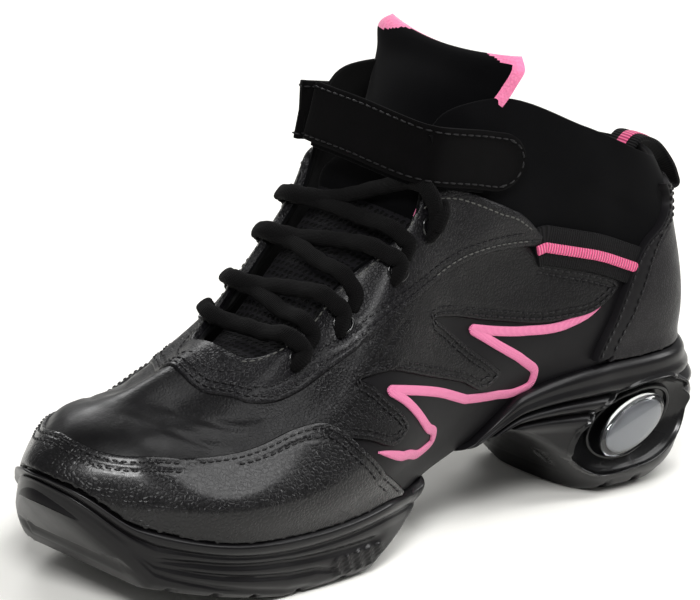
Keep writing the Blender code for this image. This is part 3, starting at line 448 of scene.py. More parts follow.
def sweep(name, line, across, half_width, half_thick, sides, power, finish, node=None, ends=None, bow=0.0):
    """A band or a cord along a line. `across` is the direction of its width, `power` squares its section."""
    ahead = unit(np.gradient(line, axis=0))
    across = unit(across - ahead * np.sum(across * ahead, axis=1, keepdims=True))
    normal = np.cross(ahead, across)
    angle = np.arange(sides) * 2 * math.pi / sides
    wide = np.sign(np.cos(angle)) * np.abs(np.cos(angle)) ** power
    thick = np.sign(np.sin(angle)) * np.abs(np.sin(angle)) ** power
    ends = np.ones(len(line)) if ends is None else ends
    half_width = np.broadcast_to(half_width, len(line))
    half_thick = np.broadcast_to(half_thick, len(line))
    lift = bow * (1.0 - wide**2)
    points = (
        line[:, None]
        + (half_width * ends)[:, None, None] * wide[None, :, None] * across[:, None]
        + (half_thick[:, None] * thick[None, :] + lift[None, :])[..., None] * normal[:, None]
    )
    reach = lengths_of(line)
    coords = np.zeros((len(line), sides, 2))
    coords[..., 0] = reach[:, None]
    coords[..., 1] = wide[None, :] * half_width[:, None]
    return add_piece(
        name, points.reshape(-1, 3), tube_faces(len(line), sides), finish, node, coords.reshape(-1, 2)
    )


# Outlines and panels on the last


def stroke(points, step=0.03):
    """A smooth line through points given as ribs and guides."""
    points = np.array(points, float)
    if len(points) == 2:
        count = max(2, int(np.linalg.norm(points[1] - points[0]) / step) + 1)
        return points[0] + (points[1] - points[0]) * np.linspace(0, 1, count)[:, None]
    rough = curve_at(points, np.linspace(0, len(points) - 1, 24 * len(points)))
    return resample(rough, step)


def mirrored(line):
    """The same line on the inner side."""
    return np.array(line)[::-1] * (-1.0, 1.0)


def closed_outline(strokes):
    """Strokes joined into one closed outline, and for each point the number of its stroke."""
    points, marks = [], []
    for k, line in enumerate(strokes):
        points.append(line[:-1])
        marks += [k] * (len(line) - 1)
    return np.concatenate(points), np.array(marks)


def inside(points, outline):
    """Which points lie inside an outline."""
    found = np.zeros(len(points), bool)
    x, y = points[:, 0], points[:, 1]
    for (ax, ay), (bx, by) in zip(outline, np.roll(outline, -1, 0)):
        if ay == by:
            continue
        crosses = (ay > y) != (by > y)
        found ^= crosses & (x < ax + (y - ay) / (by - ay) * (bx - ax))
    return found


def tree_of(places):
    """A search tree of places, for `distances`."""
    tree = kdtree.KDTree(len(places))
    for k, place in enumerate(places):
        tree.insert(place, k)
    tree.balance()
    return tree


def distances(tree, places):
    """How far each place lies from the nearest one in the tree."""
    return np.array([tree.find(place)[2] for place in places])


def inset(outline, away):
    """The line that runs `away` metres inside a closed outline, and which of its points are sound."""
    place = upper_place(outline[:, 0], outline[:, 1])
    ahead = np.roll(place, -1, 0) - np.roll(place, 1, 0)
    normal = upper_normal(outline[:, 0], outline[:, 1])
    inwards = unit(np.cross(normal, ahead))
    area = np.sum(outline[:, 0] * np.roll(outline[:, 1], -1) - outline[:, 1] * np.roll(outline[:, 0], -1))
    step = 0.01
    by_rib = (
        upper_place(outline[:, 0] + step, outline[:, 1]) - upper_place(outline[:, 0] - step, outline[:, 1])
    ) / (2 * step)
    low, high = np.clip(outline[:, 1] - step, 0, EDGE), np.clip(outline[:, 1] + step, 0, EDGE)
    by_up = (upper_place(outline[:, 0], high) - upper_place(outline[:, 0], low)) / (high - low)[:, None]
    turn = np.sign(area) * np.sign(np.sum(np.cross(by_rib, by_up) * normal, axis=1))[:, None]
    push = inwards * turn * away
    aa, ab, bb = (np.sum(p * q, axis=1) for p, q in ((by_rib, by_rib), (by_rib, by_up), (by_up, by_up)))
    pa, pb = np.sum(push * by_rib, axis=1), np.sum(push * by_up, axis=1)
    det = np.maximum(aa * bb - ab * ab, 1e-12)
    moved = outline + np.stack([(pa * bb - pb * ab) / det, (pb * aa - pa * ab) / det], 1)
    moved[:, 1] = np.clip(moved[:, 1], 0.0, EDGE)
    far = distances(tree_of(place), upper_place(moved[:, 0], moved[:, 1]))
    return moved, (far > 0.93 * away) & inside(moved, outline)


def runs_of(line, keep):
    """The unbroken runs of a closed line where `keep` is true."""
    if keep.all():
        return [np.concatenate([line, line[:1]])]
    start = int(np.argmin(keep))
    line, keep = np.roll(line, -start, 0), np.roll(keep, -start)
    runs, now = [], []
    for point, kept in zip(line, keep):
        if kept:
            now.append(point)
        elif now:
            runs.append(np.array(now))
            now = []
    if now:
        runs.append(np.array(now))
    return [run for run in runs if len(run) > 4]


# Spacing of a panel's inner points, in ribs and in guides.
PANEL_STEP = 0.045
# A seam pulls the leather in by this much, over this half width.
SEAM_SINK, SEAM_HALF = 0.00022, 0.0005
# How far a panel's underside lies over the shell.
PANEL_UNDER = 0.0001
# The runs of stitches on the panels, by the thread they are sewn with, each with its height.
SEWN = {"dark": [], "pale": []}


def panel(name, strokes, top, edge, finish, node=None, sewn=(), base=0.0):
    """A panel cut to an outline on the last, with turned edges, sewn along the strokes that `sewn` names.

    It rises from `base` to `top` over a turned edge `edge` wide. `sewn` has a row for each line of stitches:
    how far it runs inside the edge, and the strokes that have it.
    """
    outline, marks = closed_outline(strokes)
    edge_places = upper_place(outline[:, 0], outline[:, 1])
    lines = []
    for away in (0.35 * edge, edge):
        moved, sound = inset(outline, away)
        lines.append(moved[sound])
    paths = []
    for away, numbers in sewn:
        moved, sound = inset(outline, away)
        for run in runs_of(moved, sound & np.isin(marks, numbers)):
            paths.append(run)
            lines.append(run)
    low, high = outline.min(0), outline.max(0)
    ribs = np.arange(low[0], high[0], PANEL_STEP)
    ups = np.arange(low[1], high[1], PANEL_STEP)
    fill = np.stack(np.meshgrid(ribs, ups, indexing="ij"), -1)
    fill[::2, :, 1] += PANEL_STEP / 2
    fill = fill.reshape(-1, 2)
    fill = fill[inside(fill, outline)]
    near = np.concatenate([outline] + lines)
    tree = tree_of(np.pad(near, ((0, 0), (0, 1))))
    fill = fill[distances(tree, np.pad(fill, ((0, 0), (0, 1)))) > 0.6 * PANEL_STEP]
    flat = [Vector(p) for p in np.concatenate([near, fill]).tolist()]
    edges = [(k, (k + 1) % len(outline)) for k in range(len(outline))]
    found, _, faces, _, _, _ = geometry.delaunay_2d_cdt(flat, edges, [], 1, 1e-6)
    found = np.array([tuple(p) for p in found])
    faces = np.array([tuple(f) for f in faces if len(f) == 3])
    faces = faces[inside(found[faces].mean(1), outline)]
    around, up = found[:, 0], found[:, 1]
    place = upper_place(around, up)
    far = distances(tree_of(edge_places), place)
    share = np.clip(far / edge, 0.0, 1.0)
    height = base + (top - base) * (0.35 + 0.65 * np.sqrt(np.clip(1.0 - (1.0 - share) ** 2, 0.0, 1.0)))
    if paths:
        sunk = distances(tree_of(upper_place(*np.concatenate(paths).T)), place)
        height = height - SEAM_SINK * np.exp(-((sunk / SEAM_HALF) ** 2))
    outer = upper_offset(around, up, height)
    count = len(found)
    inner = upper_offset(around, up, np.full(count, PANEL_UNDER))
    faces = faces.tolist()
    border = {(a, b) for f in faces for a, b in zip(f, f[1:] + f[:1])}
    walls = [(a, b, b + count, a + count) for a, b in border if (b, a) not in border]
    under = [[k + count for k in reversed(f)] for f in faces]
    made = add_piece(name, np.concatenate([outer, inner]), faces + under + walls, finish, node)
    for run in paths:
        SEWN["dark"].append((run, top))
    return made


# The finer stitches round the eyestay.
PALE_PITCH, PALE_THICK = 0.0024, 0.00026
# Half a stitch as a share of the pitch, and the sides of its thread.
STITCH_REACH = 0.3
STITCH_SIDES = 6


def stitch_places(run, height, pitch):
    """The middle, direction and outward normal of each stitch along a run of ribs and guides."""
    place = upper_offset(run[:, 0], run[:, 1], np.full(len(run), height))
    reach = lengths_of(place)
    count = max(1, int(reach[-1] / pitch))
    at = (np.arange(count) + 0.5) * reach[-1] / count
    fine = read_at(at, reach, run)
    half = pitch * STITCH_REACH
    ends = []
    for sign in (-1, 1):
        moved = read_at(at + sign * half, reach, run)
        ends.append(upper_offset(moved[:, 0], moved[:, 1], np.full(count, height)))
    normal = upper_normal(fine[:, 0], fine[:, 1])
    return 0.5 * (ends[0] + ends[1]), ends[1] - ends[0], normal


STITCH_RINGS = (
    # place along the stitch, size, rise
    (-1.25, 0.25, -0.7),
    (-1.0, 0.75, -0.1),
    (-0.4, 1.0, 0.35),
    (0.4, 1.0, 0.35),
    (1.0, 0.75, -0.1),
    (1.25, 0.25, -0.7),
)


def stitch_piece(name, stitches, finish, thick):
    """Short rounded stitches, half sunk in what they hold, joined in one piece.

    `stitches` has the middle, direction and outward normal of each. `thick` is half the thread's thickness.
    """
    points, faces = [], []
    for middle, ahead, normal in stitches:
        side = unit(np.cross(normal, ahead))
        start = len(points)
        for place, size, rise in STITCH_RINGS:
            for k in range(STITCH_SIDES):
                angle = 2 * math.pi * k / STITCH_SIDES
                lift = normal * (rise + size * math.sin(angle)) + side * size * math.cos(angle)
                points.append(middle + ahead * 0.5 * place + thick * lift)
        faces += tube_faces(len(STITCH_RINGS), STITCH_SIDES, start)
    return add_piece(name, np.array(points), faces, finish)


def add_stitches(name, runs, finish, pitch, thick):
    """The stitches of a thread's runs on the panels."""
    stitches = []
    for run, height in runs:
        stitches += list(zip(*stitch_places(run, height, pitch)))
    return stitch_piece(name, stitches, finish, thick)


# Materials


def linear(hexed):
    """The linear colour of an sRGB hex value."""
    parts = [int(hexed[k : k + 2], 16) / 255 for k in (1, 3, 5)]
    return tuple(v / 12.92 if v <= 0.04045 else ((v + 0.055) / 1.055) ** 2.4 for v in parts) + (1.0,)


def put(tree, kind, inputs=(), **settings):
    """Adds a node with its settings, and sets or links its inputs, which are named or numbered."""
    made = tree.nodes.new(kind)
    for key, value in settings.items():
        setattr(made, key, value)
    for key, value in dict(inputs).items():
        if isinstance(value, bpy.types.NodeSocket):
            tree.links.new(value, made.inputs[key])
        else:
            made.inputs[key].default_value = value
    return made


def principled(name, hexed, roughness, **sockets):
    """A new material, its tree, and its shader with plain values."""
    made = bpy.data.materials.new(name)
    made.use_nodes = True
    tree = made.node_tree
    shader = tree.nodes["Principled BSDF"]
    shader.inputs["Base Color"].default_value = linear(hexed)
    shader.inputs["Roughness"].default_value = roughness
    for key, value in sockets.items():
        shader.inputs[key.replace("_", " ")].default_value = value
    made.diffuse_color = linear(hexed)
    return made, tree, shader


def grains(size_mm):
    """A pattern's scale for features of this size, on coordinates in metres."""
    return 1000.0 / size_mm


def shaded(tree, share, low, high):
    """A colour between two, as `share` says."""
    mix = put(tree, "ShaderNodeMix", {0: share, 6: low, 7: high}, data_type="RGBA")
    return mix.outputs[2]


def mottled(tree, coords, hexed, other, size_mm):
    """A colour that drifts between two near shades."""
    drift = put(tree, "ShaderNodeTexNoise", {"Vector": coords, "Scale": grains(size_mm), "Detail": 4.0})
    return shaded(tree, drift.outputs["Fac"], linear(hexed), linear(other))


def bumped(tree, shader, height, depth_mm, strength=1.0, under=None):
    """A bump of this real depth on the shader, over another bump where one is given."""
    inputs = {"Height": height, "Distance": depth_mm * MM, "Strength": strength}
    if under is not None:
        inputs["Normal"] = under
    made = put(tree, "ShaderNodeBump", inputs)
    tree.links.new(made.outputs["Normal"], shader.inputs["Normal"])
    return made.outputs["Normal"]


def roughened(tree, shader, coords, layers, under=None):
    """Bumps of noise over each other, a row of `layers` each: size in mm, detail, depth in mm, strength."""
    for size_mm, detail, depth_mm, strength in layers:
        noise = put(
            tree, "ShaderNodeTexNoise", {"Vector": coords, "Scale": grains(size_mm), "Detail": detail}
        )
        under = bumped(tree, shader, noise.outputs["Fac"], depth_mm, strength, under)


def broken_gloss(tree, shader, share, roughness, less, more):
    """Roughness that drifts from `less` under its value to `more` over it."""
    gloss = put(
        tree, "ShaderNodeMapRange", {0: share, 1: 0.3, 2: 0.7, 3: roughness - less, 4: roughness + more}
    )
    tree.links.new(gloss.outputs[0], shader.inputs["Roughness"])


def wave(tree, place, pitch_mm):
    """A sine wave of this pitch along a place in metres."""
    turns = put(tree, "ShaderNodeMath", {0: place, 1: 2 * math.pi * grains(pitch_mm)}, operation="MULTIPLY")
    return put(tree, "ShaderNodeMath", {0: turns.outputs[0]}, operation="SINE").outputs[0]


def full_grain(name, hexed, other, pebble_mm, depth_mm, roughness, coat, fade=None):
    """Chrome-tanned cowhide with an embossed pebble: small domes with creases between them, under a thin
    pigment finish that gives a soft broken gloss. The creases hold painted shade, a darker copy of the
    colour.

    `fade` is where the pebble begins and ends to die out, as X, and the share of it that stays.
    """
    made, tree, shader = principled(
        name, hexed, roughness, IOR=1.5, Coat_Weight=coat, Coat_Roughness=0.20, Specular_IOR_Level=0.16
    )
    coords = put(tree, "ShaderNodeTexCoord").outputs["Object"]
    bend = put(
        tree, "ShaderNodeTexNoise", {"Vector": coords, "Scale": grains(4.0), "Detail": 2.0}
    ).outputs["Color"]
    turned = put(tree, "ShaderNodeVectorMath", {0: bend, 1: (0.0011,) * 3}, operation="MULTIPLY").outputs[0]
    moved = put(tree, "ShaderNodeVectorMath", {0: coords, 1: turned}, operation="ADD").outputs[0]
    cells = {"Vector": moved, "Scale": grains(pebble_mm)}
    edge = put(tree, "ShaderNodeTexVoronoi", cells, feature="DISTANCE_TO_EDGE").outputs["Distance"]
    rise = {0: edge, 1: 0.0, 2: 0.28}
    domes = put(tree, "ShaderNodeMapRange", rise, interpolation_type="SMOOTHSTEP").outputs[0]
    if fade:
        place = put(tree, "ShaderNodeSeparateXYZ", {0: coords}).outputs["X"]
        share = put(
            tree, "ShaderNodeMapRange", {0: place, 1: fade[0], 2: fade[1], 3: 1.0, 4: fade[2]}
        ).outputs[0]
        domes = put(tree, "ShaderNodeMath", {0: domes, 1: share}, operation="MULTIPLY").outputs[0]
    broad = put(
        tree, "ShaderNodeTexNoise", {"Vector": coords, "Scale": grains(7.0), "Detail": 3.0}
    ).outputs["Fac"]
    low = bumped(tree, shader, broad, 0.45, 0.5)
    mid = bumped(tree, shader, domes, depth_mm, 1.0, low)
    roughened(tree, shader, coords, ((0.35, 3.0, 0.012, 0.6),), mid)
    # Painted shade in the creases between the pebbles: 0.45 of the leather's colour. Where the pebble dies
    # out, the smooth leather takes mostly this darker colour too.
    creases = tuple(0.45 * v for v in linear(hexed)[:3]) + (1.0,)
    colour = shaded(tree, domes, creases, mottled(tree, coords, hexed, other, 9.0))
    tree.links.new(colour, shader.inputs["Base Color"])
    broken_gloss(tree, shader, broad, roughness, 0.07, 0.08)
    return made


def coated_leather(name, hexed, other, roughness):
    """Polyurethane-coated split leather: an almost plain film over a faint fibre texture, evenly dull."""
    made, tree, shader = principled(name, hexed, roughness, IOR=1.5, Specular_IOR_Level=0.12)
    coords = put(tree, "ShaderNodeTexCoord").outputs["Object"]
    roughened(tree, shader, coords, ((11.0, 4.0, 0.35, 0.4), (0.6, 3.0, 0.03, 0.5)))
    tree.links.new(mottled(tree, coords, hexed, other, 14.0), shader.inputs["Base Color"])
    return made


def nubuck(name, hexed, other):
    """Grain leather sanded to a short velvet nap: no gloss, a faint sheen, and brushed streaks."""
    made, tree, shader = principled(
        name, hexed, 0.95, IOR=1.45, Sheen_Weight=0.02, Sheen_Roughness=0.5, Specular_IOR_Level=0.04
    )
    coords = put(tree, "ShaderNodeTexCoord").outputs["Object"]
    roughened(tree, shader, coords, ((0.45, 5.0, 0.06, 0.8),))
    tree.links.new(mottled(tree, coords, hexed, other, 8.0), shader.inputs["Base Color"])
    return made


def moulded_rubber(name, hexed, roughness, coat=0.1):
    """Injection-moulded sole rubber: the mould's satin skin, with a little bloom and flow unevenness."""
    made, tree, shader = principled(
        name, hexed, roughness, IOR=1.52, Coat_Weight=coat, Coat_Roughness=0.15, Specular_IOR_Level=0.18
    )
    coords = put(tree, "ShaderNodeTexCoord").outputs["Object"]
    broad = put(
        tree, "ShaderNodeTexNoise", {"Vector": coords, "Scale": grains(16.0), "Detail": 3.0}
    ).outputs["Fac"]
    low = bumped(tree, shader, broad, 0.3, 0.35)
    roughened(tree, shader, coords, ((0.5, 2.0, 0.015, 0.5),), low)
    broken_gloss(tree, shader, broad, roughness, 0.06, 0.08)
    return made


def ribbed(name, hexed, other, pitch_mm, roughness, depth_mm=0.25, sheen=0.0):
    """Woven tape or satin stitch: fine parallel ridges across the piece, on its own coordinates, with painted
    shade in the grooves between them.
    """
    made, tree, shader = principled(
        name, hexed, roughness, IOR=1.5, Sheen_Weight=sheen, Specular_IOR_Level=0.15
    )
    coords = put(tree, "ShaderNodeAttribute", attribute_name="along_across").outputs["Vector"]
    place = put(tree, "ShaderNodeSeparateXYZ", {0: coords}).outputs[0]
    ridge = put(tree, "ShaderNodeMapRange", {0: wave(tree, place, pitch_mm), 1: -1.0, 2: 1.0}).outputs[0]
    # Painted shade: the grooves between the ridges take the darker colour `other`.
    tree.links.new(shaded(tree, ridge, linear(other), linear(hexed)), shader.inputs["Base Color"])
    low = bumped(tree, shader, ridge, depth_mm, 1.0)
    roughened(tree, shader, coords, ((0.5, 3.0, 0.08, 0.6),), low)
    return made


def braided(name, hexed, other, pitch_mm):
    """A flat braided lace: two sets of yarns crossing at a slant, matt polyester, with painted shade in the
    gaps between the yarns.
    """
    made, tree, shader = principled(name, hexed, 0.8, IOR=1.5, Sheen_Weight=0.01, Specular_IOR_Level=0.08)
    coords = put(tree, "ShaderNodeAttribute", attribute_name="along_across").outputs["Vector"]
    along_it, across_it, _ = put(tree, "ShaderNodeSeparateXYZ", {0: coords}).outputs
    waves = []
    for sign in (1.0, -1.0):
        slant = put(tree, "ShaderNodeMath", {0: across_it, 1: sign * 1.2}, operation="MULTIPLY").outputs[0]
        place = put(tree, "ShaderNodeMath", {0: along_it, 1: slant}, operation="ADD").outputs[0]
        waves.append(wave(tree, place, pitch_mm))
    both = put(tree, "ShaderNodeMath", {0: waves[0], 1: waves[1]}, operation="MULTIPLY").outputs[0]
    yarn = put(tree, "ShaderNodeMapRange", {0: both, 1: -1.0, 2: 1.0}).outputs[0]
    # Painted shade: the gaps between the yarns take the darker colour `other`.
    tree.links.new(shaded(tree, yarn, linear(other), linear(hexed)), shader.inputs["Base Color"])
    low = bumped(tree, shader, yarn, 0.22, 1.0)
    roughened(tree, shader, coords, ((0.3, 3.0, 0.1, 0.7),), low)
    return made


def spacer_mesh(name, hexed, hole, cell_mm):
    """Warp-knitted spacer mesh: round holes in close rows, deep, with soft yarn between. The holes'
    near-black is painted shade for their depth, since the surface has no real holes.
    """
    made, tree, shader = principled(name, hexed, 0.75, IOR=1.5, Sheen_Weight=0.01, Specular_IOR_Level=0.12)
    coords = put(tree, "ShaderNodeAttribute", attribute_name="along_across").outputs["Vector"]
    rows = {"Vector": coords, "Scale": grains(cell_mm), "Randomness": 0.22}
    cells = put(tree, "ShaderNodeTexVoronoi", rows, feature="F1").outputs["Distance"]
    rise = {0: cells, 1: 0.25, 2: 0.42}
    yarn = put(tree, "ShaderNodeMapRange", rise, interpolation_type="SMOOTHSTEP").outputs[0]
    # Painted shade: the holes take the near-black colour `hole`, in place of the shade in their depth.
    tree.links.new(shaded(tree, yarn, linear(hole), linear(hexed)), shader.inputs["Base Color"])
    low = bumped(tree, shader, yarn, 0.9, 1.0)
    roughened(tree, shader, coords, ((0.35, 3.0, 0.2, 0.8),), low)
    return made


def brushed_knit(name, hexed, other):
    """Brushed tricot lining: a short soft pile over fine knitted rows."""
    made, tree, shader = principled(
        name, hexed, 0.9, IOR=1.45, Sheen_Weight=0.35, Sheen_Roughness=0.4, Specular_IOR_Level=0.3
    )
    coords = put(tree, "ShaderNodeTexCoord").outputs["Object"]
    loops = put(tree, "ShaderNodeTexVoronoi", {"Vector": coords, "Scale": grains(0.8)}).outputs["Distance"]
    low = bumped(tree, shader, loops, 0.25, 0.8)
    roughened(tree, shader, coords, ((0.3, 4.0, 0.12, 0.8),), low)
    tree.links.new(mottled(tree, coords, hexed, other, 1.2), shader.inputs["Base Color"])
    return made


def clear_plastic(name):
    """Clear thermoplastic polyurethane, moulded glossy."""
    made, tree, shader = principled(name, "#F2F4F7", 0.04, IOR=1.5, Transmission_Weight=1.0, Coat_Weight=0.3)
    coords = put(tree, "ShaderNodeTexCoord").outputs["Object"]
    roughened(tree, shader, coords, ((9.0, 2.0, 0.15, 0.4),))
    return made


def sewing_thread(name, hexed, roughness):
    """Bonded polyester thread: smooth, tight and a little waxy."""
    return principled(name, hexed, roughness, IOR=1.5, Specular_IOR_Level=0.25)[0]


FINISHES = {}


def make_finishes(settings):
    """Every material of the shoe, by the place it is used at, made once."""
    if FINISHES:
        return
    FINISHES["pebbled"] = full_grain("pebbled_leather", "#0F0E11", "#151417", 1.15, 0.09, 0.38, 0.06)
    toe_fade = (0.150, 0.205, 0.12)
    FINISHES["vamp"] = full_grain("vamp_leather", "#0A090B", "#0F0E11", 1.15, 0.08, 0.40, 0.03, toe_fade)
    FINISHES["guard"] = full_grain(
        "toe_guard_leather", "#0A090B", "#0F0E11", 1.4, 0.12, 0.30, 0.35, (0.20, 0.26, 0.5)
    )
    FINISHES["side"] = coated_leather("smooth_side_leather", "#0C0B0D", "#100F11", 0.46)
    FINISHES["counter"] = full_grain("counter_leather", "#171518", "#1E1C1F", 0.9, 0.03, 0.42, 0.06)
    FINISHES["nubuck"] = nubuck("black_nubuck", "#040405", "#070708")
    FINISHES["strap"] = nubuck("strap_nubuck", "#040404", "#080708")
    FINISHES["rubber"] = moulded_rubber("sole_rubber", "#0A090B", 0.34, 0.10)
    FINISHES["gloss_rubber"] = moulded_rubber("window_ring_rubber", "#0B0B0C", 0.16, 0.4)
    FINISHES["bowl"] = moulded_rubber("window_bowl_rubber", "#0A0A0B", 0.24, 0.3)
    # The second colour of each ribbed finish is painted shade in its grooves.
    FINISHES["tape"] = ribbed("ribbed_tape", "#121113", "#040404", 0.9, 0.85)
    FINISHES["pink_tape"] = ribbed("pink_tape", settings.pink, "#9E2C5A", 1.05, 0.7, depth_mm=0.35, sheen=0.2)
    FINISHES["satin"] = ribbed(
        "pink_satin_stitch", settings.pink_line, "#B23F70", 0.5, 0.5, depth_mm=0.12, sheen=0.2
    )
    # The second colour of the lace is painted shade in its gaps.
    FINISHES["lace"] = braided("braided_lace", "#090809", "#020202", 1.1)
    # The second colour of each mesh is painted shade in its holes.
    FINISHES["mesh"] = spacer_mesh("spacer_mesh", "#111013", "#010101", 2.3)
    FINISHES["lining"] = spacer_mesh("collar_lining", "#0E0D10", "#030303", 1.1)
    FINISHES["pink_lining"] = brushed_knit("pink_brushed_lining", "#EE8FB4", "#D9628F")
    FINISHES["thread"] = sewing_thread("waxed_thread", "#121113", 0.40)
    FINISHES["strap_thread"] = sewing_thread("strap_thread", "#0C0B0D", 0.55)
    FINISHES["pale_thread"] = sewing_thread("pale_thread", "#4A4A47", 0.5)
    FINISHES["insole"] = brushed_knit("insole_cloth", "#111013", "#18171A")
    FINISHES["capsule"] = clear_plastic("clear_capsule")
    # The core's pale metallic grey is partly the insert inside the capsule and partly painted reflection, for
    # the bright reflections of the clear shell.
    FINISHES["core"] = principled("capsule_core_and_reflection", "#85878B", 0.30, Metallic=0.5)[0]
    FINISHES["binding"] = coated_leather("binding_leather", "#0E0D0F", "#131214", 0.5)


# Soles

# The walls of the two soles, from the tread upwards: the share of the height, how far the wall stands out
# past the feather line, and how much further it stands out at the very end of the shoe.
FORE_WALL = (
    # height, grow, end
    (0.00, -0.0030, -0.0040),
    (0.03, -0.0008, -0.0036),
    (0.10, 0.0010, -0.0030),
    (0.24, 0.0021, -0.0028),
    (0.44, 0.0022, -0.0026),
    (0.60, 0.0018, -0.0022),
    (0.72, 0.0016, -0.0020),
    (0.77, 0.0010, -0.0020),
    (0.81, 0.0018, -0.0018),
    (0.90, 0.0027, -0.0016),
    (0.96, 0.0024, -0.0018),
    (1.00, 0.0012, -0.0018),
)
HEEL_WALL = (
    # height, grow, end
    (0.00, -0.0100, 0.0040),
    (0.02, -0.0075, 0.0044),
    (0.12, -0.0024, 0.0066),
    (0.30, 0.0006, 0.0082),
    (0.52, 0.0020, 0.0080),
    (0.655, 0.0022, 0.0068),
    (0.67, 0.0012, 0.0064),
    (0.685, 0.0022, 0.0066),
    (0.77, 0.0024, 0.0052),
    (0.785, 0.0011, 0.0045),
    (0.80, 0.0023, 0.0044),
    (0.90, 0.0029, 0.0024),
    (0.97, 0.0024, 0.0012),
    (1.00, 0.0012, 0.0006),
)
FORE_CUT_LOW, FORE_CUT_HIGH = 0.144, 0.118
HEEL_CUT_LOW, HEEL_CUT_HIGH = 0.046, 0.110
CUT_CORNER = 0.009
CUT_POWER = 2.0 / 2.6
ROCKER_FROM, ROCKER_SLOPE, ROCKER_POWER = 0.186, 0.27, 1.1
TOE_TREAD_FROM, TOE_TREAD_SLOPE = 0.232, 0.92
HEEL_TREAD_SLOPE = 0.42
HEEL_TREAD_FROM = 0.050
HEEL_TREAD_ROUND = 0.008
HEEL_FLAT_TO = 0.030
RIM_FORE = 0.0042
TOE_BUMPER = 0.0045
RIM_HEEL_BACK = 0.0045
RIM_HEEL_FRONT = 0.0075
RIM_HEEL_FROM, RIM_HEEL_OVER = 0.030, 0.050
RIM_FADE = 0.020
BUMPER_FROM, BUMPER_FADE = 0.236, 0.014
SOLE_LEAST = 0.0015
CLEARANCE = 0.0004
INSOLE_THICKNESS = 0.0035
TREAD_DEPTH = 0.0018
TREAD_GROOVE = 0.0030
FORE_GROOVES = (0.084, 0.102, 0.120, 0.138, 0.156, 0.170, 0.184, 0.196)
HEEL_GROOVES = (-0.028, -0.016, -0.004, 0.008)
WINDOW_CENTRE = (-0.010, 0.0225)
WINDOW_HALF = (0.027, 0.016)
WINDOW_TILT = math.radians(12)
CAPSULE_TILT = math.radians(24)
BOWL_GAP = 0.0006
# The dish lies deeper towards its front end, where the heel narrows.
DISH_SLOPE = 0.22
WINDOW_FACE = {1.0: 0.0258, -1.0: -0.0248}
WINDOW_DISH = 0.012
CAPSULE_HALF = (0.0145, 0.0082)
CAPSULE_DEPTH = 0.0075

# The raised slanted bars on the outer side of the front sole, in metres along it.
BAR_COUNT, BAR_FIRST, BAR_SPACING, BAR_SLANT = 5, 0.1055, 0.0048, 0.010
BAR_HALF, BAR_FLANK, BAR_RISE = 0.0013, 0.0007, 0.0006

# Lines moulded into the side of the front sole: depth, half width, and the places they run through.
SIDE_LINES = (
    # depth, width, (x, share of the height) from the rear to the toe
    (0.0011, 0.060, ((0.102, 0.50), (0.125, 0.56), (0.148, 0.62), (0.179, 0.60), (0.197, 0.50))),
    (0.0010, 0.050, ((0.120, 0.22), (0.133, 0.36), (0.147, 0.40), (0.170, 0.42), (0.197, 0.46))),
    (0.0008, 0.050, ((0.130, 0.10), (0.147, 0.16), (0.170, 0.22), (0.185, 0.30), (0.197, 0.42))),
)


def rib_at(x):
    """The rib of the outer side where the feather line is at X; RIBS less it is its opposite."""
    ribs = np.linspace(0.0, HEEL_RIB, 600)
    return float(np.interp(-x, -feather(ribs)[:, 0], ribs))


def floor_at(x):
    """Height of the floor, which falls towards the toe in the tables' frame."""
    return -math.tan(PITCH) * (x - HEEL_REST + FLAT_SPOT_BACK)


def fore_tread(x):
    """Height of the front sole's tread: flat under the ball, with a rocker and the toe's spring."""
    ahead = np.clip(x - ROCKER_FROM, 0.0, 0.1)
    toe = np.clip(x - TOE_TREAD_FROM, 0.0, 0.1)
    return floor_at(x) + ROCKER_SLOPE * ahead**ROCKER_POWER + TOE_TREAD_SLOPE * toe


def heel_tread(x):
    """Height of the heel's tread: flat, then rising towards the arch."""
    ahead = x - HEEL_TREAD_FROM
    soft = 0.5 * (ahead + np.hypot(ahead, HEEL_TREAD_ROUND))
    level = 0.5 * (
        math.hypot(HEEL_TREAD_FROM - HEEL_FLAT_TO, HEEL_TREAD_ROUND) - HEEL_TREAD_FROM + HEEL_FLAT_TO
    )
    return floor_at(x) + HEEL_TREAD_SLOPE * np.maximum(soft - level, 0.0)


def fore_rim(x):
    """How far the front sole's rim stands up the upper, with the bumper at the toe."""
    side = RIM_FORE * smooth((x - FORE_CUT_HIGH - CUT_CORNER) / RIM_FADE)
    return side + TOE_BUMPER * smooth((x - BUMPER_FROM) / BUMPER_FADE)


def heel_rim(x):
    """How far the heel's rim stands up the upper, higher towards the arch."""
    share = smooth((x - RIM_HEEL_FROM) / RIM_HEEL_OVER)
    rise = RIM_HEEL_BACK + (RIM_HEEL_FRONT - RIM_HEEL_BACK) * share
    return rise * smooth((HEEL_CUT_HIGH - CUT_CORNER - x) / RIM_FADE)


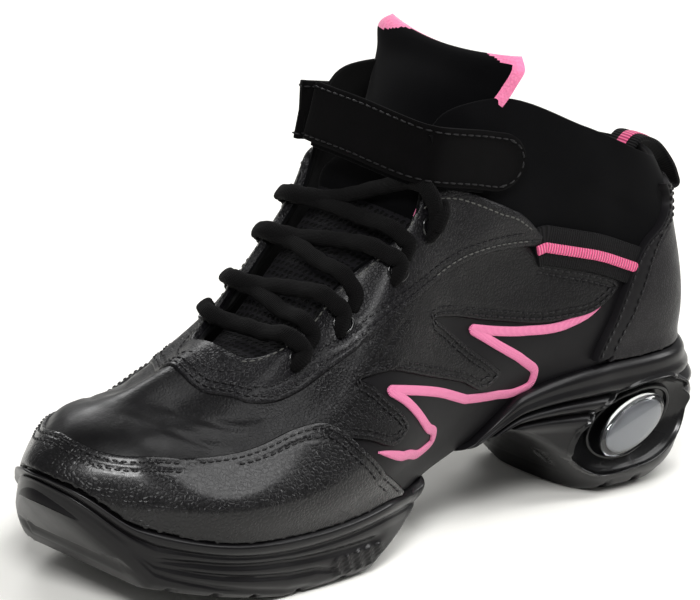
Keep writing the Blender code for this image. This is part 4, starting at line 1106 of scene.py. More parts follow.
def sole_ring(natural, cut, grow, side_steps, end_steps):
    """One level ring of a sole, the rib that each point belongs to, and a flag that is 1 on the cut end."""
    turn = 1.0 if natural == 0 else -1.0
    last = rib_at(along(0.0) + cut + turn * CUT_CORNER)
    ribs = natural + (last - natural) * np.linspace(0.0, 1.0, side_steps)
    angle = np.linspace(0.0, math.pi / 2, end_steps + 1)[1:]
    middle = 0.5 * (feather(last) + feather(RIBS - last))
    halves = []
    for side in (ribs, (RIBS - ribs) % RIBS):
        line = feather(side) + grow * feather_outward(side)
        corner = line[-1]
        x = corner[0] + (along(0.0) + cut - corner[0]) * np.sin(angle) ** CUT_POWER
        y = middle[1] + (corner[1] - middle[1]) * np.cos(angle) ** CUT_POWER
        halves.append(np.concatenate([line, np.stack([x, y, np.zeros_like(x)], 1)]))
    first = feather(float(natural)) + grow * feather_outward(float(natural))
    halves[0][0] = halves[1][0] = first
    halves[0][-1] = halves[1][-1] = 0.5 * (halves[0][-1] + halves[1][-1])
    points = np.concatenate([halves[0], halves[1][-2:0:-1]])
    own = np.concatenate([ribs, np.full(end_steps, last)])
    on_end = np.concatenate([np.zeros(side_steps), np.ones(end_steps)])
    return (
        points,
        np.concatenate([own, ((RIBS - own) % RIBS)[-2:0:-1]]),
        np.concatenate([on_end, on_end[-2:0:-1]]),
    )


def bulge_of(ribs, rim, x):
    """How far the upper stands out past its feather line at the height of the rim."""
    level = level_at(ribs, rim(x - along(0.0)))
    out = np.sum((upper_place(ribs, level) - feather(ribs)) * feather_outward(ribs), axis=-1)
    return np.maximum(out, 0.0)


def fore_relief(points, height):
    """The lines and bars moulded into the front sole's sides, as a distance outwards."""
    x = points[:, 0]
    total = np.zeros(len(points))
    for depth, width, line in SIDE_LINES:
        line = np.array(line)
        level = np.interp(x, line[:, 0], line[:, 1])
        fade = smooth((x - line[0, 0]) / 0.008) * smooth((line[-1, 0] - x) / 0.010)
        total -= depth * fade * np.exp(-(((height - level) / width) ** 2))
    for k in range(BAR_COUNT):
        middle = BAR_FIRST + BAR_SPACING * k + BAR_SLANT * (height - 0.35)
        bar = smooth((BAR_HALF - np.abs(x - middle)) / BAR_FLANK)
        upright = smooth((0.16 - abs(height - 0.30)) / 0.03)
        total += BAR_RISE * bar * upright * (points[:, 1] > 0)
    return total


def window_share(x, z):
    """How far a place lies from the window's middle, 1 at its rim, and the angle round it."""
    a, b = x - WINDOW_CENTRE[0], z - WINDOW_CENTRE[1]
    # Blender turns a positive angle round Y from Z to X, so the window's front end lies lower.
    u = (a * math.cos(WINDOW_TILT) - b * math.sin(WINDOW_TILT)) / WINDOW_HALF[0]
    v = (a * math.sin(WINDOW_TILT) + b * math.cos(WINDOW_TILT)) / WINDOW_HALF[1]
    return np.hypot(u, v), np.arctan2(v, u)


# The heel's plain wall, kept by `dish` for the bowls, which are built after the soles.
HEEL_WALL_PLACES = []


def dish(points):
    """Presses the window's dish into both sides of the heel, and keeps the plain wall for the bowls."""
    HEEL_WALL_PLACES.append(points.copy())
    share, _ = window_share(points[:, 0], points[:, 2])
    side = np.where(points[:, 1] > 0, 1.0, -1.0)
    outer, inner = (dish_depth(points[:, 0], points[:, 2], one) for one in (1.0, -1.0))
    deep = np.where(side > 0, outer, inner) - BOWL_GAP
    out = np.abs(points[:, 1])
    points[:, 1] = side * np.where(share < 1.0, np.minimum(out, deep), out)
    return points


def ladder(count):
    """Faces across a ring whose point k lies opposite point count - k."""
    half = count // 2
    faces = [(0, 1, count - 1)]
    faces += [(k, k + 1, count - k - 1, count - k) for k in range(1, half - 1)]
    faces.append((half - 1, half, half + 1))
    return faces


def ring_solid(name, rings, finish, node):
    """A closed solid from level rings, with a ladder of faces over its bottom and its top."""
    count = len(rings[0])
    faces = tube_faces(len(rings), count, caps=False)
    faces += [tuple(reversed(face)) for face in ladder(count)]
    last = (len(rings) - 1) * count
    faces += [tuple(last + k for k in face) for face in ladder(count)]
    return add_piece(name, np.concatenate(rings), faces, finish, node, smooth_angle=50.0)


def fine_wall(wall, rows):
    """The wall's profile with many rows, which still passes through each row of the table."""
    table = np.array(wall)
    heights = np.unique(np.concatenate([np.linspace(0.0, 1.0, rows), table[:, 0]]))
    where = np.interp(heights, table[:, 0], np.arange(len(table)))
    smooth_rows = curve_at(table, where)
    smooth_rows[:, 0] = heights
    return smooth_rows


def sole(name, natural, cuts, wall, tread, rim, grooves, relief, node, steps, finish):
    """A sole with its wall's bands and lines, the notches of its tread, the rim's top and the cup inside.

    `natural` is the rib at its round end, and `cuts` are where its other end is cut, at the tread and on top.
    """
    side_steps, end_steps, rows = steps
    low_cut, high_cut = cuts
    rings = []
    for height, grow, end in fine_wall(wall, rows):
        cut = low_cut + (high_cut - low_cut) * smooth(height) ** 0.9
        points, rib, on_end = sole_ring(natural, cut, grow, side_steps, end_steps)
        near_end = np.minimum(np.abs(rib - natural), np.abs(RIBS - rib - natural))
        near_end = np.minimum(near_end, RIBS - near_end)
        push = end * (1.0 - smooth(near_end / 1.6))
        push = push + bulge_of(rib, rim, points[:, 0]) * smooth((height - 0.25) / 0.6) * (on_end < 1)
        points = points + push[:, None] * feather_outward(rib)
        x = points[:, 0] - along(0.0)
        top = underside(points[:, 0]) - CLEARANCE * np.where(rim(x) > CLEARANCE, 0.0, 1.0) + rim(x)
        low = np.minimum(tread(x), top - SOLE_LEAST)
        points[:, 2] = low + (top - low) * height
        if relief:
            points = points + (relief(points, height) * (on_end < 1))[:, None] * feather_outward(rib)
        for groove in grooves:
            notch = smooth((TREAD_GROOVE / 2 + 0.0004 - np.abs(points[:, 0] - groove)) / 0.0008)
            points[:, 2] += TREAD_DEPTH * notch * max(0.0, 1.0 - height / 0.12)
        rings.append(dish(points) if natural else points)
    points, rib, on_end = sole_ring(natural, high_cut, 0.0, side_steps, end_steps)
    x = points[:, 0] - along(0.0)
    side = on_end < 1
    height = rim(x)
    lip = points.copy()
    lip[side] = upper_offset(rib[side], level_at(rib[side], height[side]), -0.0004)
    lip[:, 2] = underside(lip[:, 0]) + height - 0.0004
    rings.append(0.5 * (rings[-1] + lip) + (0.0, 0.0, 0.0003))
    rings.append(lip)
    foot = points.copy()
    foot[:, 2] = underside(foot[:, 0]) - CLEARANCE
    rings.append(foot)
    return ring_solid(name, rings, finish, node)


def rim_level(ribs, rim, extra):
    """How far up the guides the surface is `extra` over a sole's rim."""
    x = feather(ribs)[:, 0] - along(0.0)
    return level_at(ribs, rim(x) + extra)


# Pieces over the last

EYESTAY_LOW = (
    # rib, up
    (0.00, 3.42),
    (0.64, 3.35),
    (1.46, 3.22),
    (2.18, 2.96),
    (2.46, 2.885),
    (2.88, 2.90),
    (3.16, 2.96),
    (3.56, 2.86),
    (3.98, 2.80),
    (4.46, 2.735),
    (5.02, 2.68),
    (5.58, 2.55),
    (6.12, 2.37),
)
LEAF_TOP = (
    (6.14, 2.48),
    (5.78, 2.93),
    (5.32, 3.23),
    (4.84, 3.50),
    (4.50, 3.70),
    (4.20, 3.93),
)
THROAT_TAB = (
    (0.0, 3.70),
    (0.46, 3.62),
    (0.86, 3.66),
    (1.26, 3.72),
    (1.60, 3.80),
)
GUARD_HIGH = (
    (0.00, 1.92),
    (0.34, 1.82),
    (0.60, 1.74),
    (0.88, 1.75),
    (1.38, 1.95),
    (1.88, 2.13),
    (2.42, 2.19),
    (2.78, 2.22),
    (3.08, 2.12),
    (3.30, 1.87),
    (3.54, 1.48),
    (3.84, 1.05),
    (4.30, 0.30),
)
QUARTER_TOP = (
    (6.14, 2.16),
    (6.60, 1.88),
    (7.08, 1.58),
)
# The quarter's rear end and the zigzag of its lower edge: each run ends in a notch.
ZIGZAG = (
    ((7.08, 1.58), (7.14, 1.46), (7.06, 1.34), (6.86, 1.24), (6.36, 1.33), (5.60, 1.70), (4.70, 2.20)),
    (
        (4.70, 2.20), (5.20, 1.62), (5.58, 1.18), (5.66, 1.05), (5.56, 0.96), (5.10, 1.28), (4.58, 1.63),
        (3.61, 2.28),
    ),
    ((3.61, 2.28), (3.94, 1.76), (4.19, 1.43), (4.24, 1.31), (4.13, 1.23), (3.62, 1.50), (3.44, 1.62)),
)
QUARTER_HIGH = (
    # rib, up: the edge that lies under the eyestay
    (0.00, 3.60),
    (0.64, 3.52),
    (1.46, 3.42),
    (2.18, 3.16),
    (2.88, 3.10),
    (3.56, 3.06),
    (4.46, 2.93),
    (5.02, 2.88),
    (5.60, 2.72),
    (6.00, 2.40),
    (6.14, 2.16),
)
VAMP_FRONT = (
    # rib, up: the edge that lies under the toe guard
    (0.00, 1.72),
    (0.40, 1.60),
    (0.88, 1.54),
    (1.38, 1.74),
    (1.88, 1.92),
    (2.42, 1.98),
    (2.74, 2.02),
    (3.00, 1.92),
    (3.22, 1.70),
    (3.44, 1.62),
)
COUNTER_FRONT = (
    # rib, up
    (7.06, 0.42),
    (7.12, 0.65),
    (7.24, 1.00),
    (7.36, 1.35),
    (7.60, 1.88),
    (7.92, 2.20),
    (8.10, 2.55),
    (7.96, 2.86),
)
BINDING_WIDTH = 0.19
NUBUCK_FROM = (
    # rib, up: the collar's nubuck begins over this line
    (0.0, 3.97),
    (4.1, 3.97),
    (5.3, 3.15),
    (6.14, 2.46),
    (6.80, 2.10),
    (7.46, 1.78),
    (9.0, 1.75),
)
TAPE_EDGES = (
    # rib, low, high
    (6.17, 2.15, 2.57),
    (6.80, 1.80, 2.20),
    (7.44, 1.38, 1.80),
)
PINK_RUNS = (
    ((7.00, 1.36), (6.86, 1.27), (6.50, 1.22), (5.98, 1.40), (5.60, 1.59), (5.24, 1.79)),
    (
        (5.24, 1.79), (5.60, 1.43), (6.02, 0.93), (6.16, 0.66), (6.13, 0.44), (5.96, 0.45), (5.70, 0.62),
        (4.74, 1.38), (3.96, 1.84),
    ),
    (
        (3.96, 1.84), (4.22, 1.59), (4.58, 1.12), (4.79, 0.80), (4.79, 0.60), (4.62, 0.62), (4.30, 0.92),
        (4.02, 1.12), (3.80, 1.26),
    ),
)


def both_sides(half):
    """An edge from its inner end, round the toe, to its outer end, given from the toe outwards."""
    half = np.array(half, float)
    return np.concatenate([mirrored(half[1:]), half])


def shell_piece(finishes):
    """The hollow upper: its outer skin, the rolled edge and the lining, with the sling under the arch."""
    per_rib = 14
    columns = RIBS * per_rib
    around = np.arange(columns) / per_rib
    up = np.concatenate([np.linspace(0.0, 3.7, 50), np.linspace(3.78, 4.0, 6)])
    rounds, ups = np.meshgrid(around, up, indexing="ij")
    outer = upper_offset(rounds, ups, np.full(rounds.shape, 0.0002))
    inner = upper_offset(rounds, ups, -padding(rounds, ups))
    inner[:, 0] = outer[:, 0] - WALL * feather_outward(around)
    inner[:, 0, 2] = outer[:, 0, 2] + WALL
    middle, half = 0.5 * (outer[:, -1] + inner[:, -1]), 0.5 * (outer[:, -1] - inner[:, -1])
    tip = outer[:, -1] - outer[:, -3]
    tip *= np.linalg.norm(half, axis=1, keepdims=True) / np.linalg.norm(tip, axis=1, keepdims=True)
    angle = np.linspace(0.0, math.pi, 9)[1:-1]
    cosines, sines = np.cos(angle)[None, :, None], np.sin(angle)[None, :, None]
    arc = middle[:, None] + cosines * half[:, None] + sines * tip[:, None]
    strip = np.concatenate([outer, arc, inner[:, ::-1]], axis=1)
    rows = strip.shape[1]
    outer_rows = len(up)
    faces = grid_faces(columns, rows, wrap=True)
    line = np.array(NUBUCK_FROM)
    side = np.abs((around + 0.5 / per_rib + HEEL_RIB) % RIBS - HEEL_RIB)
    from_up = np.interp(side, line[:, 0], line[:, 1])
    slots = []
    for i in range(columns):
        for j in range(rows - 1):
            if j < outer_rows - 1:
                slots.append(1 if 0.5 * (up[j] + up[j + 1]) > from_up[i] else 0)
            else:
                slots.append(1 if j < outer_rows + 4 else 2)
    low, high = round(4.5 * per_rib), round(5.5 * per_rib)
    last = rows - 1
    for i in range(columns):
        k = (i + 1) % columns
        if not (low <= i < high or columns - high <= i < columns - low):
            faces.append((k * rows, i * rows, i * rows + last, k * rows + last))
    for i in range(low, high):
        a, b = i * rows, (i + 1) * rows
        c, d = (columns - i - 1) * rows, (columns - i) * rows
        faces.append((b, a, d, c))
        faces.append((a + last, b + last, c + last, d + last))
    for i, turned in ((low, False), (high, True)):
        a, b = i * rows, (columns - i) * rows
        face = (a, b, b + last, a + last)
        faces.append(tuple(reversed(face)) if turned else face)
    slots += [0] * (len(faces) - len(slots))
    return add_piece("upper_shell", strip.reshape(-1, 3), faces, finishes, "upper", slots=slots)


def surface_line(run, height):
    """A run of ribs and guides as places at a height, and the outward direction at each."""
    place = upper_offset(run[:, 0], run[:, 1], np.broadcast_to(height, len(run)))
    return place, upper_normal(run[:, 0], run[:, 1])


def ribbon_on(name, run, height, half_width, half_thick, finish, ends, node=None, power=0.7, step=0.0007):
    """A swept band that lies on the last along a run of ribs and guides."""
    place, _ = surface_line(run, height)
    reach = lengths_of(place)
    count = max(8, int(reach[-1] / step))
    at = np.linspace(0.0, reach[-1], count)
    fine = read_at(at, reach, run)
    place, normal = surface_line(fine, height)
    ahead = np.gradient(place, axis=0)
    across = np.cross(normal, ahead)
    start, stop = ends
    taper = np.ones(count)
    if start:
        taper *= np.clip(at / start, 0.05, 1.0) ** 0.5
    if stop:
        taper *= np.clip((reach[-1] - at) / stop, 0.05, 1.0) ** 0.5
    return sweep(name, place, across, half_width, half_thick, 14, power, finish, node, taper)


TONGUE_FROM, TONGUE_TO = 1.0, 4.25
TONGUE_HEAD = (
    # x, y, z, half, wrap, rise
    (0.0790, -0.0025, 0.1180, 0.0205, 0.0095, 0.0000),
    (0.0700, -0.0050, 0.1280, 0.0240, 0.0105, 0.0000),
    (0.0630, -0.0055, 0.1350, 0.0285, 0.0095, 0.0005),
    (0.0575, -0.0055, 0.1395, 0.0312, 0.0070, 0.0020),
    (0.0545, -0.0052, 0.1430, 0.0332, 0.0050, 0.0046),
    (0.0520, -0.0055, 0.1460, 0.0295, 0.0045, 0.0056),
)
TONGUE_NORMAL = np.array([0.73, 0.0, 0.68])
TONGUE_THICKNESS = 0.0055
THROAT_EDGE = 3.95
TONGUE_ROWS, TONGUE_COLUMNS = 150, 61
# The row of the tongue's sections at which its nubuck head begins.
HEAD_SEAM = 12.3


def tongue_section(rib, across):
    """Points across the tongue's top at a rib, between the two edges of the throat and under them."""
    outer, inner = (upper_offset(r, THROAT_EDGE, 0.0) for r in (rib, RIBS - rib))
    inwards = unit(inner - outer)
    outer = outer + inwards * 0.0012 - TONGUE_NORMAL * 0.0030
    inner = inner - inwards * 0.0012 - TONGUE_NORMAL * 0.0030
    crown = 0.5 * (outer + inner) + TONGUE_NORMAL * 0.0015
    return curve_at(np.array([outer, crown, inner]), across * 2)


def tongue_piece(finishes):
    """The padded tongue: knitted spacer mesh below, nubuck head, and the lining that rolls over its edges."""
    count_rows, columns = TONGUE_ROWS, TONGUE_COLUMNS
    across = np.linspace(0.0, 1.0, columns)
    side = 1.0 - 2.0 * across
    rows = [tongue_section(rib, across) for rib in np.arange(TONGUE_FROM, TONGUE_TO + 0.01, 0.25)]
    for x, y, z, half, wrap, rise in TONGUE_HEAD:
        row = np.array([x, y, z]) - TONGUE_NORMAL * (wrap * np.abs(side) ** 2.2)[:, None]
        row[:, 1] += half * side
        row[:, 2] += rise * side**2
        rows.append(row)
    rows = np.array(rows)
    flat = rows.reshape(len(rows), -1)
    where = np.linspace(0.0, len(rows) - 1.0, count_rows)
    top = curve_at(flat, where).reshape(count_rows, columns, 3)
    normal = unit(np.cross(np.gradient(top, axis=0), np.gradient(top, axis=1)))
    if normal[..., 0].mean() < 0:
        normal = -normal
    reach = lengths_of(top[:, columns // 2])
    left = np.clip((reach[-1] - reach) / 0.0035, 0.0, 1.0)
    edge = np.sqrt(np.clip(1.0 - (1.0 - left) ** 2, 0.0, 1.0))[:, None] * np.ones(columns)
    edge = edge * np.sqrt(np.clip(1.0 - np.abs(side) ** 9, 0.0, 1.0))[None, :]
    fill = 0.45 + 0.55 * smooth(np.linspace(0, 1, count_rows) * 1.6)
    thick = TONGUE_THICKNESS * fill[:, None] * edge
    # Seams across the head: under the strap the nubuck ends in a turned edge.
    seam = np.interp(HEAD_SEAM, where, reach)
    groove = 0.0007 * np.exp(-(((reach - seam) / 0.0008) ** 2))
    middle = TONGUE_THICKNESS * fill[:, None] * 0.5
    front = top - normal * (middle - 0.5 * thick + groove[:, None])[..., None]
    back = top - normal * (middle + 0.5 * thick)[..., None]
    count = count_rows * columns
    faces = grid_faces(count_rows, columns)
    slots = []
    for i in range(count_rows - 1):
        for j in range(columns - 1):
            left_corner, right_corner = smooth((-side[j] - 0.45) / 0.4), smooth((side[j] - 0.55) / 0.3)
            margin = 0.0006 + 0.0044 * left_corner + 0.0028 * right_corner
            on_head = where[i] > HEAD_SEAM
            rolled = reach[-1] - reach[i] < margin or (on_head and (side[j] > 0.90 or j > columns - 3))
            slots.append(2 if rolled else int(on_head))
    faces += [tuple(reversed(face)) for face in grid_faces(count_rows, columns, start=count)]
    slots += [2] * (len(faces) - len(slots))
    loop = list(range(columns)) + [i * columns + columns - 1 for i in range(1, count_rows)]
    loop += [(count_rows - 1) * columns + j for j in range(columns - 2, -1, -1)]
    loop += [i * columns for i in range(count_rows - 2, 0, -1)]
    faces += [(a, b, b + count, a + count) for a, b in zip(loop, loop[1:] + loop[:1])]
    slots += [2] * (len(faces) - len(slots))
    steps = np.linalg.norm(np.diff(top, axis=1), axis=2)
    sideways = np.pad(np.cumsum(steps, 1), ((0, 0), (1, 0)))
    coords = np.stack([np.repeat(reach[:, None], columns, 1), sideways], -1).reshape(-1, 2)
    points = np.concatenate([front.reshape(-1, 3), back.reshape(-1, 3)])
    return add_piece(
        "tongue_pad", points, faces, finishes, "tongue", np.concatenate([coords, coords]), 60.0, slots=slots
    )


STRAP_PATH = (
    # x, y, z, lean
    (0.0480, 0.0295, 0.1145, 0.10),
    (0.0570, 0.0293, 0.1162, 0.10),
    (0.0670, 0.0294, 0.1183, 0.12),
    (0.0775, 0.0292, 0.1200, 0.14),
    (0.0856, 0.0258, 0.1212, 0.20),
    (0.0900, 0.0150, 0.1228, 0.28),
    (0.0905, 0.0000, 0.1238, 0.32),
    (0.0898, -0.0150, 0.1238, 0.28),
    (0.0838, -0.0240, 0.1225, 0.14),
    (0.0765, -0.0296, 0.1205, 0.04),
    (0.0665, -0.0322, 0.1185, 0.04),
    (0.0530, -0.0350, 0.1160, 0.06),
    (0.0380, -0.0350, 0.1130, 0.08),
)
LOOP_PATH = (
    # x, z
    (-0.0210, 0.0945),
    (-0.0235, 0.1030),
    (-0.0280, 0.1075),
    (-0.0340, 0.1063),
    (-0.0405, 0.1010),
    (-0.0452, 0.0945),
    (-0.0465, 0.0905),
    (-0.0440, 0.0898),
    (-0.0410, 0.0930),
    (-0.0386, 0.0950),
    (-0.0372, 0.0925),
)
EYELETS = (
    # outer rib, inner rib
    (2.60, 2.18),
    (3.29, 2.82),
    (3.98, 3.48),
    (4.52, 3.98),
)
EYELET_UP = 3.44
INNER_EYELET_UP = 3.78
EYELET_RADIUS, EYELET_RIM, EYELET_RISE = 0.0029, 0.0006, 0.0004
LACE_WIDTH, LACE_THICKNESS = 0.0054, 0.0033
# How far the lace's underside rides over the shell.
LACE_RIDE = 0.0031
STRAP_WIDTH, STRAP_THICKNESS = 0.0182, 0.0022
# How far the strap's seam and its backing's edge lie inside its own edge.
STRAP_SEAM, BACKING_INSIDE = 0.0016, 0.0003
BACKING_HALF_THICK = 0.0007
# The height of the strap's stitches over its middle.
STRAP_STITCH_OUT = 0.0014
LOOP_HALF_WIDTH, LOOP_HALF_THICK = 0.0060, 0.00065
LOOP_STRIPE_HALF_WIDTH, LOOP_STRIPE_HALF_THICK = 0.0021, 0.00022


def strap_line(count=160):
    """The strap's middle line, the direction of its width and its outward direction."""
    rows = np.array(STRAP_PATH)
    where = np.linspace(0.0, len(rows) - 1.0, count)
    line = resample(curve_at(rows, where), 0.0009)
    ahead = unit(np.gradient(line[:, :3], axis=0))
    across = np.stack([-line[:, 3], np.zeros(len(line)), np.ones(len(line))], 1)
    across = unit(across - ahead * np.sum(across * ahead, axis=1, keepdims=True))
    return line[:, :3], across, np.cross(across, ahead)


def straight_stitches(name, lines, outward, finish, pitch, thick):
    """Stitches along lines in space, each with its outward directions."""
    stitches = []
    for line, normals in zip(lines, outward):
        reach = lengths_of(line)
        count = int(reach[-1] / pitch)
        for k in range(count):
            at = (k + 0.5) * reach[-1] / count
            half = STITCH_REACH * pitch
            rear, front = read_at(at - half, reach, line), read_at(at + half, reach, line)
            stitches.append((0.5 * (rear + front), front - rear, read_at(at, reach, normals)))
    return stitch_piece(name, stitches, finish, thick)


# Straps, laces and small parts


def strap_pieces(width):
    """The ankle strap, its backing, and the stitches round its edge and its free end."""
    half_width = width / 2
    line, across, outward = strap_line()
    reach = lengths_of(line)
    ends = np.clip((reach + 0.0004) / 0.0105, 0.05, 1.0)
    ends = np.sqrt(1.0 - (1.0 - ends) ** 2)
    sweep(
        "strap_top", line, across, half_width, STRAP_THICKNESS / 2, 28, 0.28,
        FINISHES["strap"], "ankle_strap", ends, bow=0.0004,
    )
    under = line - outward * 0.0018 - across * 0.0016
    keep = (reach > 0.012) & (line[:, 1] > -0.020)
    sweep(
        "strap_backing", under[keep], across[keep], half_width - BACKING_INSIDE, BACKING_HALF_THICK, 20, 0.3,
        FINISHES["nubuck"],
    )
    lines, normals = [], []
    for side in (-1, 1):
        edge = line + across * (side * (half_width * ends - STRAP_SEAM))[:, None]
        edge = edge + outward * STRAP_STITCH_OUT
        far = (reach > 0.006) & (reach < reach[-1] - 0.002)
        lines.append(edge[far])
        normals.append(outward[far])
    turn = np.linspace(-0.5 * math.pi, 0.5 * math.pi, 24)
    ahead = unit(line[3] - line[0])
    arc = line[0] + ahead * (0.0085 - 0.0075 * np.cos(turn))[:, None]
    arc = arc + across[0] * (0.0070 * np.sin(turn))[:, None]
    lines.append(arc + outward[0] * STRAP_STITCH_OUT)
    normals.append(np.repeat(outward[:1], 24, 0))
    straight_stitches("strap_stitches", lines, normals, FINISHES["strap_thread"], 0.0030, 0.00028)


def loop_pieces():
    """The pull loop at the heel, with the pink stripe on its outside."""
    rows = np.array([(x, 0.0, z) for x, z in LOOP_PATH])
    line = resample(curve_at(rows, np.linspace(0.0, len(rows) - 1.0, 240)), 0.0006)
    across = np.tile([0.0, 1.0, 0.0], (len(line), 1))
    sweep(
        "loop_webbing", line, across, LOOP_HALF_WIDTH, LOOP_HALF_THICK, 20, 0.3,
        FINISHES["tape"], "pull_loop",
    )
    outward = unit(np.cross(np.gradient(line, axis=0), across))
    if outward[len(line) // 2] @ np.array([-1.0, 0.0, 0.6]) < 0:
        outward = -outward
    stripe = line + outward * 0.00070
    sweep(
        "loop_stripe", stripe[4:-4], across[4:-4], LOOP_STRIPE_HALF_WIDTH, LOOP_STRIPE_HALF_THICK, 14, 0.5,
        FINISHES["pink_tape"],
    )


def throat_rib(x):
    """The rib of the outer side whose top edge is at X."""
    ribs = np.linspace(0.3, 4.9, 400)
    return float(np.interp(-x, -upper_place(ribs, THROAT_EDGE)[:, 0], ribs))


def crossing(start, end, height):
    """The places over the near edge, over the tongue and over the far edge of the throat."""
    points = []
    for share in (0.12, 0.30, 0.5, 0.70, 0.88):
        rib = throat_rib(start[0] + (end[0] - start[0]) * share)
        if 0.2 < share < 0.8:
            sideways = share if start[1] > 0 else 1.0 - share
            points.append(tongue_section(rib, np.array([sideways]))[0] + TONGUE_NORMAL * 0.0046)
        else:
            on_outer = (start[1] > 0) == (share < 0.5)
            points.append(upper_offset(rib if on_outer else RIBS - rib, 3.93, np.array(height)))
    return points


def lace_places(outer_side, row, height):
    """The place over an eyelet of a row, on the outer or the inner side."""
    if outer_side:
        return upper_offset(row[0], EYELET_UP, np.array(height))
    return upper_offset(RIBS - row[1], INNER_EYELET_UP, np.array(height))


def lace_pieces(width):
    """Bars from eyelet to eyelet, whose ends dive into the eyelets, and the diagonals that run under them."""
    half_width, half_thick = width / 2, LACE_THICKNESS / 2
    top = LACE_RIDE + half_thick
    for k, row in enumerate(EYELETS):
        outer, inner = lace_places(True, row, top), lace_places(False, row, top)
        path = [lace_places(False, row, 0.0002), lace_places(False, row, 0.0030), inner]
        path = path + crossing(inner, outer, top)
        beyond = upper_offset(row[0] - 0.02, EYELET_UP - 0.08, np.array(top - 0.0007))
        dive = upper_offset(row[0] - 0.02, EYELET_UP - 0.14, np.array(0.0014))
        path = path + [outer, beyond, dive]
        cord("lace_bar_%d" % k, path, half_width, half_thick, "lace" if k == 0 else None)
        if k + 1 < len(EYELETS):
            after = EYELETS[k + 1]
            low = top - 0.0016
            start = upper_offset(row[0] + 0.10, EYELET_UP + 0.16, np.array(low))
            end = upper_offset(RIBS - after[1] - 0.05, INNER_EYELET_UP, np.array(low))
            sunk = upper_offset(row[0] + 0.06, EYELET_UP + 0.04, np.array(0.0016))
            finish_up = upper_offset(RIBS - after[1] - 0.03, INNER_EYELET_UP - 0.12, np.array(0.0010))
            path = [sunk, start] + crossing(start, end, low) + [end, finish_up]
            cord("lace_diagonal_%d" % k, path, half_width * 0.96, half_thick * 0.9)
    row = EYELETS[-1]
    path = [
        upper_offset(row[0] - 0.03, EYELET_UP - 0.06, np.array(top + 0.0006)),
        upper_offset(row[0] + 0.01, EYELET_UP + 0.06, np.array(top + 0.0022)),
        upper_offset(4.57, 3.50, np.array(top + 0.0012)),
        upper_offset(4.60, 3.58, np.array(top + 0.0002)),
    ]
    cord("lace_end", path, half_width, half_thick)


def cord(name, path, half_width, half_thick, node=None):
    """A lace along a path, its flat side to the tongue, with ends that close softly."""
    path = np.array(path)
    rough = curve_at(path, np.linspace(0.0, len(path) - 1.0, 30 * len(path)))
    line = resample(rough, 0.0006)
    reach = lengths_of(line)
    normal = np.tile(TONGUE_NORMAL, (len(line), 1))
    across = np.cross(normal, np.gradient(line, axis=0))
    near = np.minimum(reach, reach[-1] - reach)
    ends = np.sqrt(np.clip(1.0 - (1.0 - np.clip(near / 0.0012, 0.0, 1.0)) ** 2, 0.09, 1.0))
    wavy = half_width * (1.0 + 0.05 * np.sin(reach * 900.0 + len(name)))
    return sweep(name, line, across, wavy, half_thick, 18, 0.85, FINISHES["lace"], node, ends)


def eyelet_rings():
    """Punched rims round the eyelets, joined in one piece."""
    points, faces = [], []
    around, sides = 28, 10
    for row in EYELETS:
        for rib, up in ((row[0], EYELET_UP - 0.05), (RIBS - row[1], INNER_EYELET_UP - 0.02)):
            middle = upper_offset(rib, up, np.array(0.0023))
            normal = upper_normal(rib, up)
            side = unit(np.cross(normal, [1.0, 0.0, 0.0]))
            ahead = np.cross(side, normal)
            start = len(points)
            for i in range(around):
                turn = 2 * math.pi * i / around
                out = side * math.cos(turn) + ahead * math.sin(turn)
                for j in range(sides):
                    roll = 2 * math.pi * j / sides
                    radius = EYELET_RADIUS + EYELET_RIM * math.cos(roll)
                    points.append(middle + out * radius + normal * EYELET_RISE * math.sin(roll))
            faces += ring_faces(around, sides, start)
    return add_piece("eyelet_rims", np.array(points), faces, FINISHES["gloss_rubber"])


def tilted(a, b, tilt):
    """A place in a pod's own plane as x and z of the shoe."""
    return a * math.cos(tilt) + b * math.sin(tilt), -a * math.sin(tilt) + b * math.cos(tilt)


def ellipsoid_piece(name, centre, half, tilt, finish, node=None, segments=64, rings=32):
    """A moulded pod: a closed ellipsoid whose short axis lies across the shoe."""
    angle = np.arange(segments) * 2 * math.pi / segments
    depth = np.linspace(0.0, math.pi, rings + 2)[1:-1]
    points = []
    for d in depth:
        a = half[0] * math.sin(d) * np.cos(angle)
        b = half[2] * math.sin(d) * np.sin(angle)
        x, z = tilted(a, b, tilt)
        points.append(np.stack([x, np.full(segments, half[1] * math.cos(d)), z], 1))
    points = np.concatenate(points) + centre
    return add_piece(name, points, tube_faces(rings, segments), finish, node)


def window_place(share, angle, tilt=WINDOW_TILT, shift=0.0):
    """A place in the window's plane at a share of its rim and an angle, as x and z."""
    x, z = tilted(
        WINDOW_HALF[0] * share * np.cos(angle) + shift, WINDOW_HALF[1] * share * np.sin(angle), tilt
    )
    return WINDOW_CENTRE[0] + x, WINDOW_CENTRE[1] + z


def dish_depth(x, z, side):
    """How far out the dish's surface lies at a place of the window."""
    share, _ = window_share(x, z)
    face = abs(WINDOW_FACE[side]) - DISH_SLOPE * np.maximum(x - WINDOW_CENTRE[0], 0.0)
    return face + WINDOW_DISH - WINDOW_DISH * np.sqrt(np.clip(1.0 - np.minimum(share, 1.0) ** 2, 0.0, 1.0))


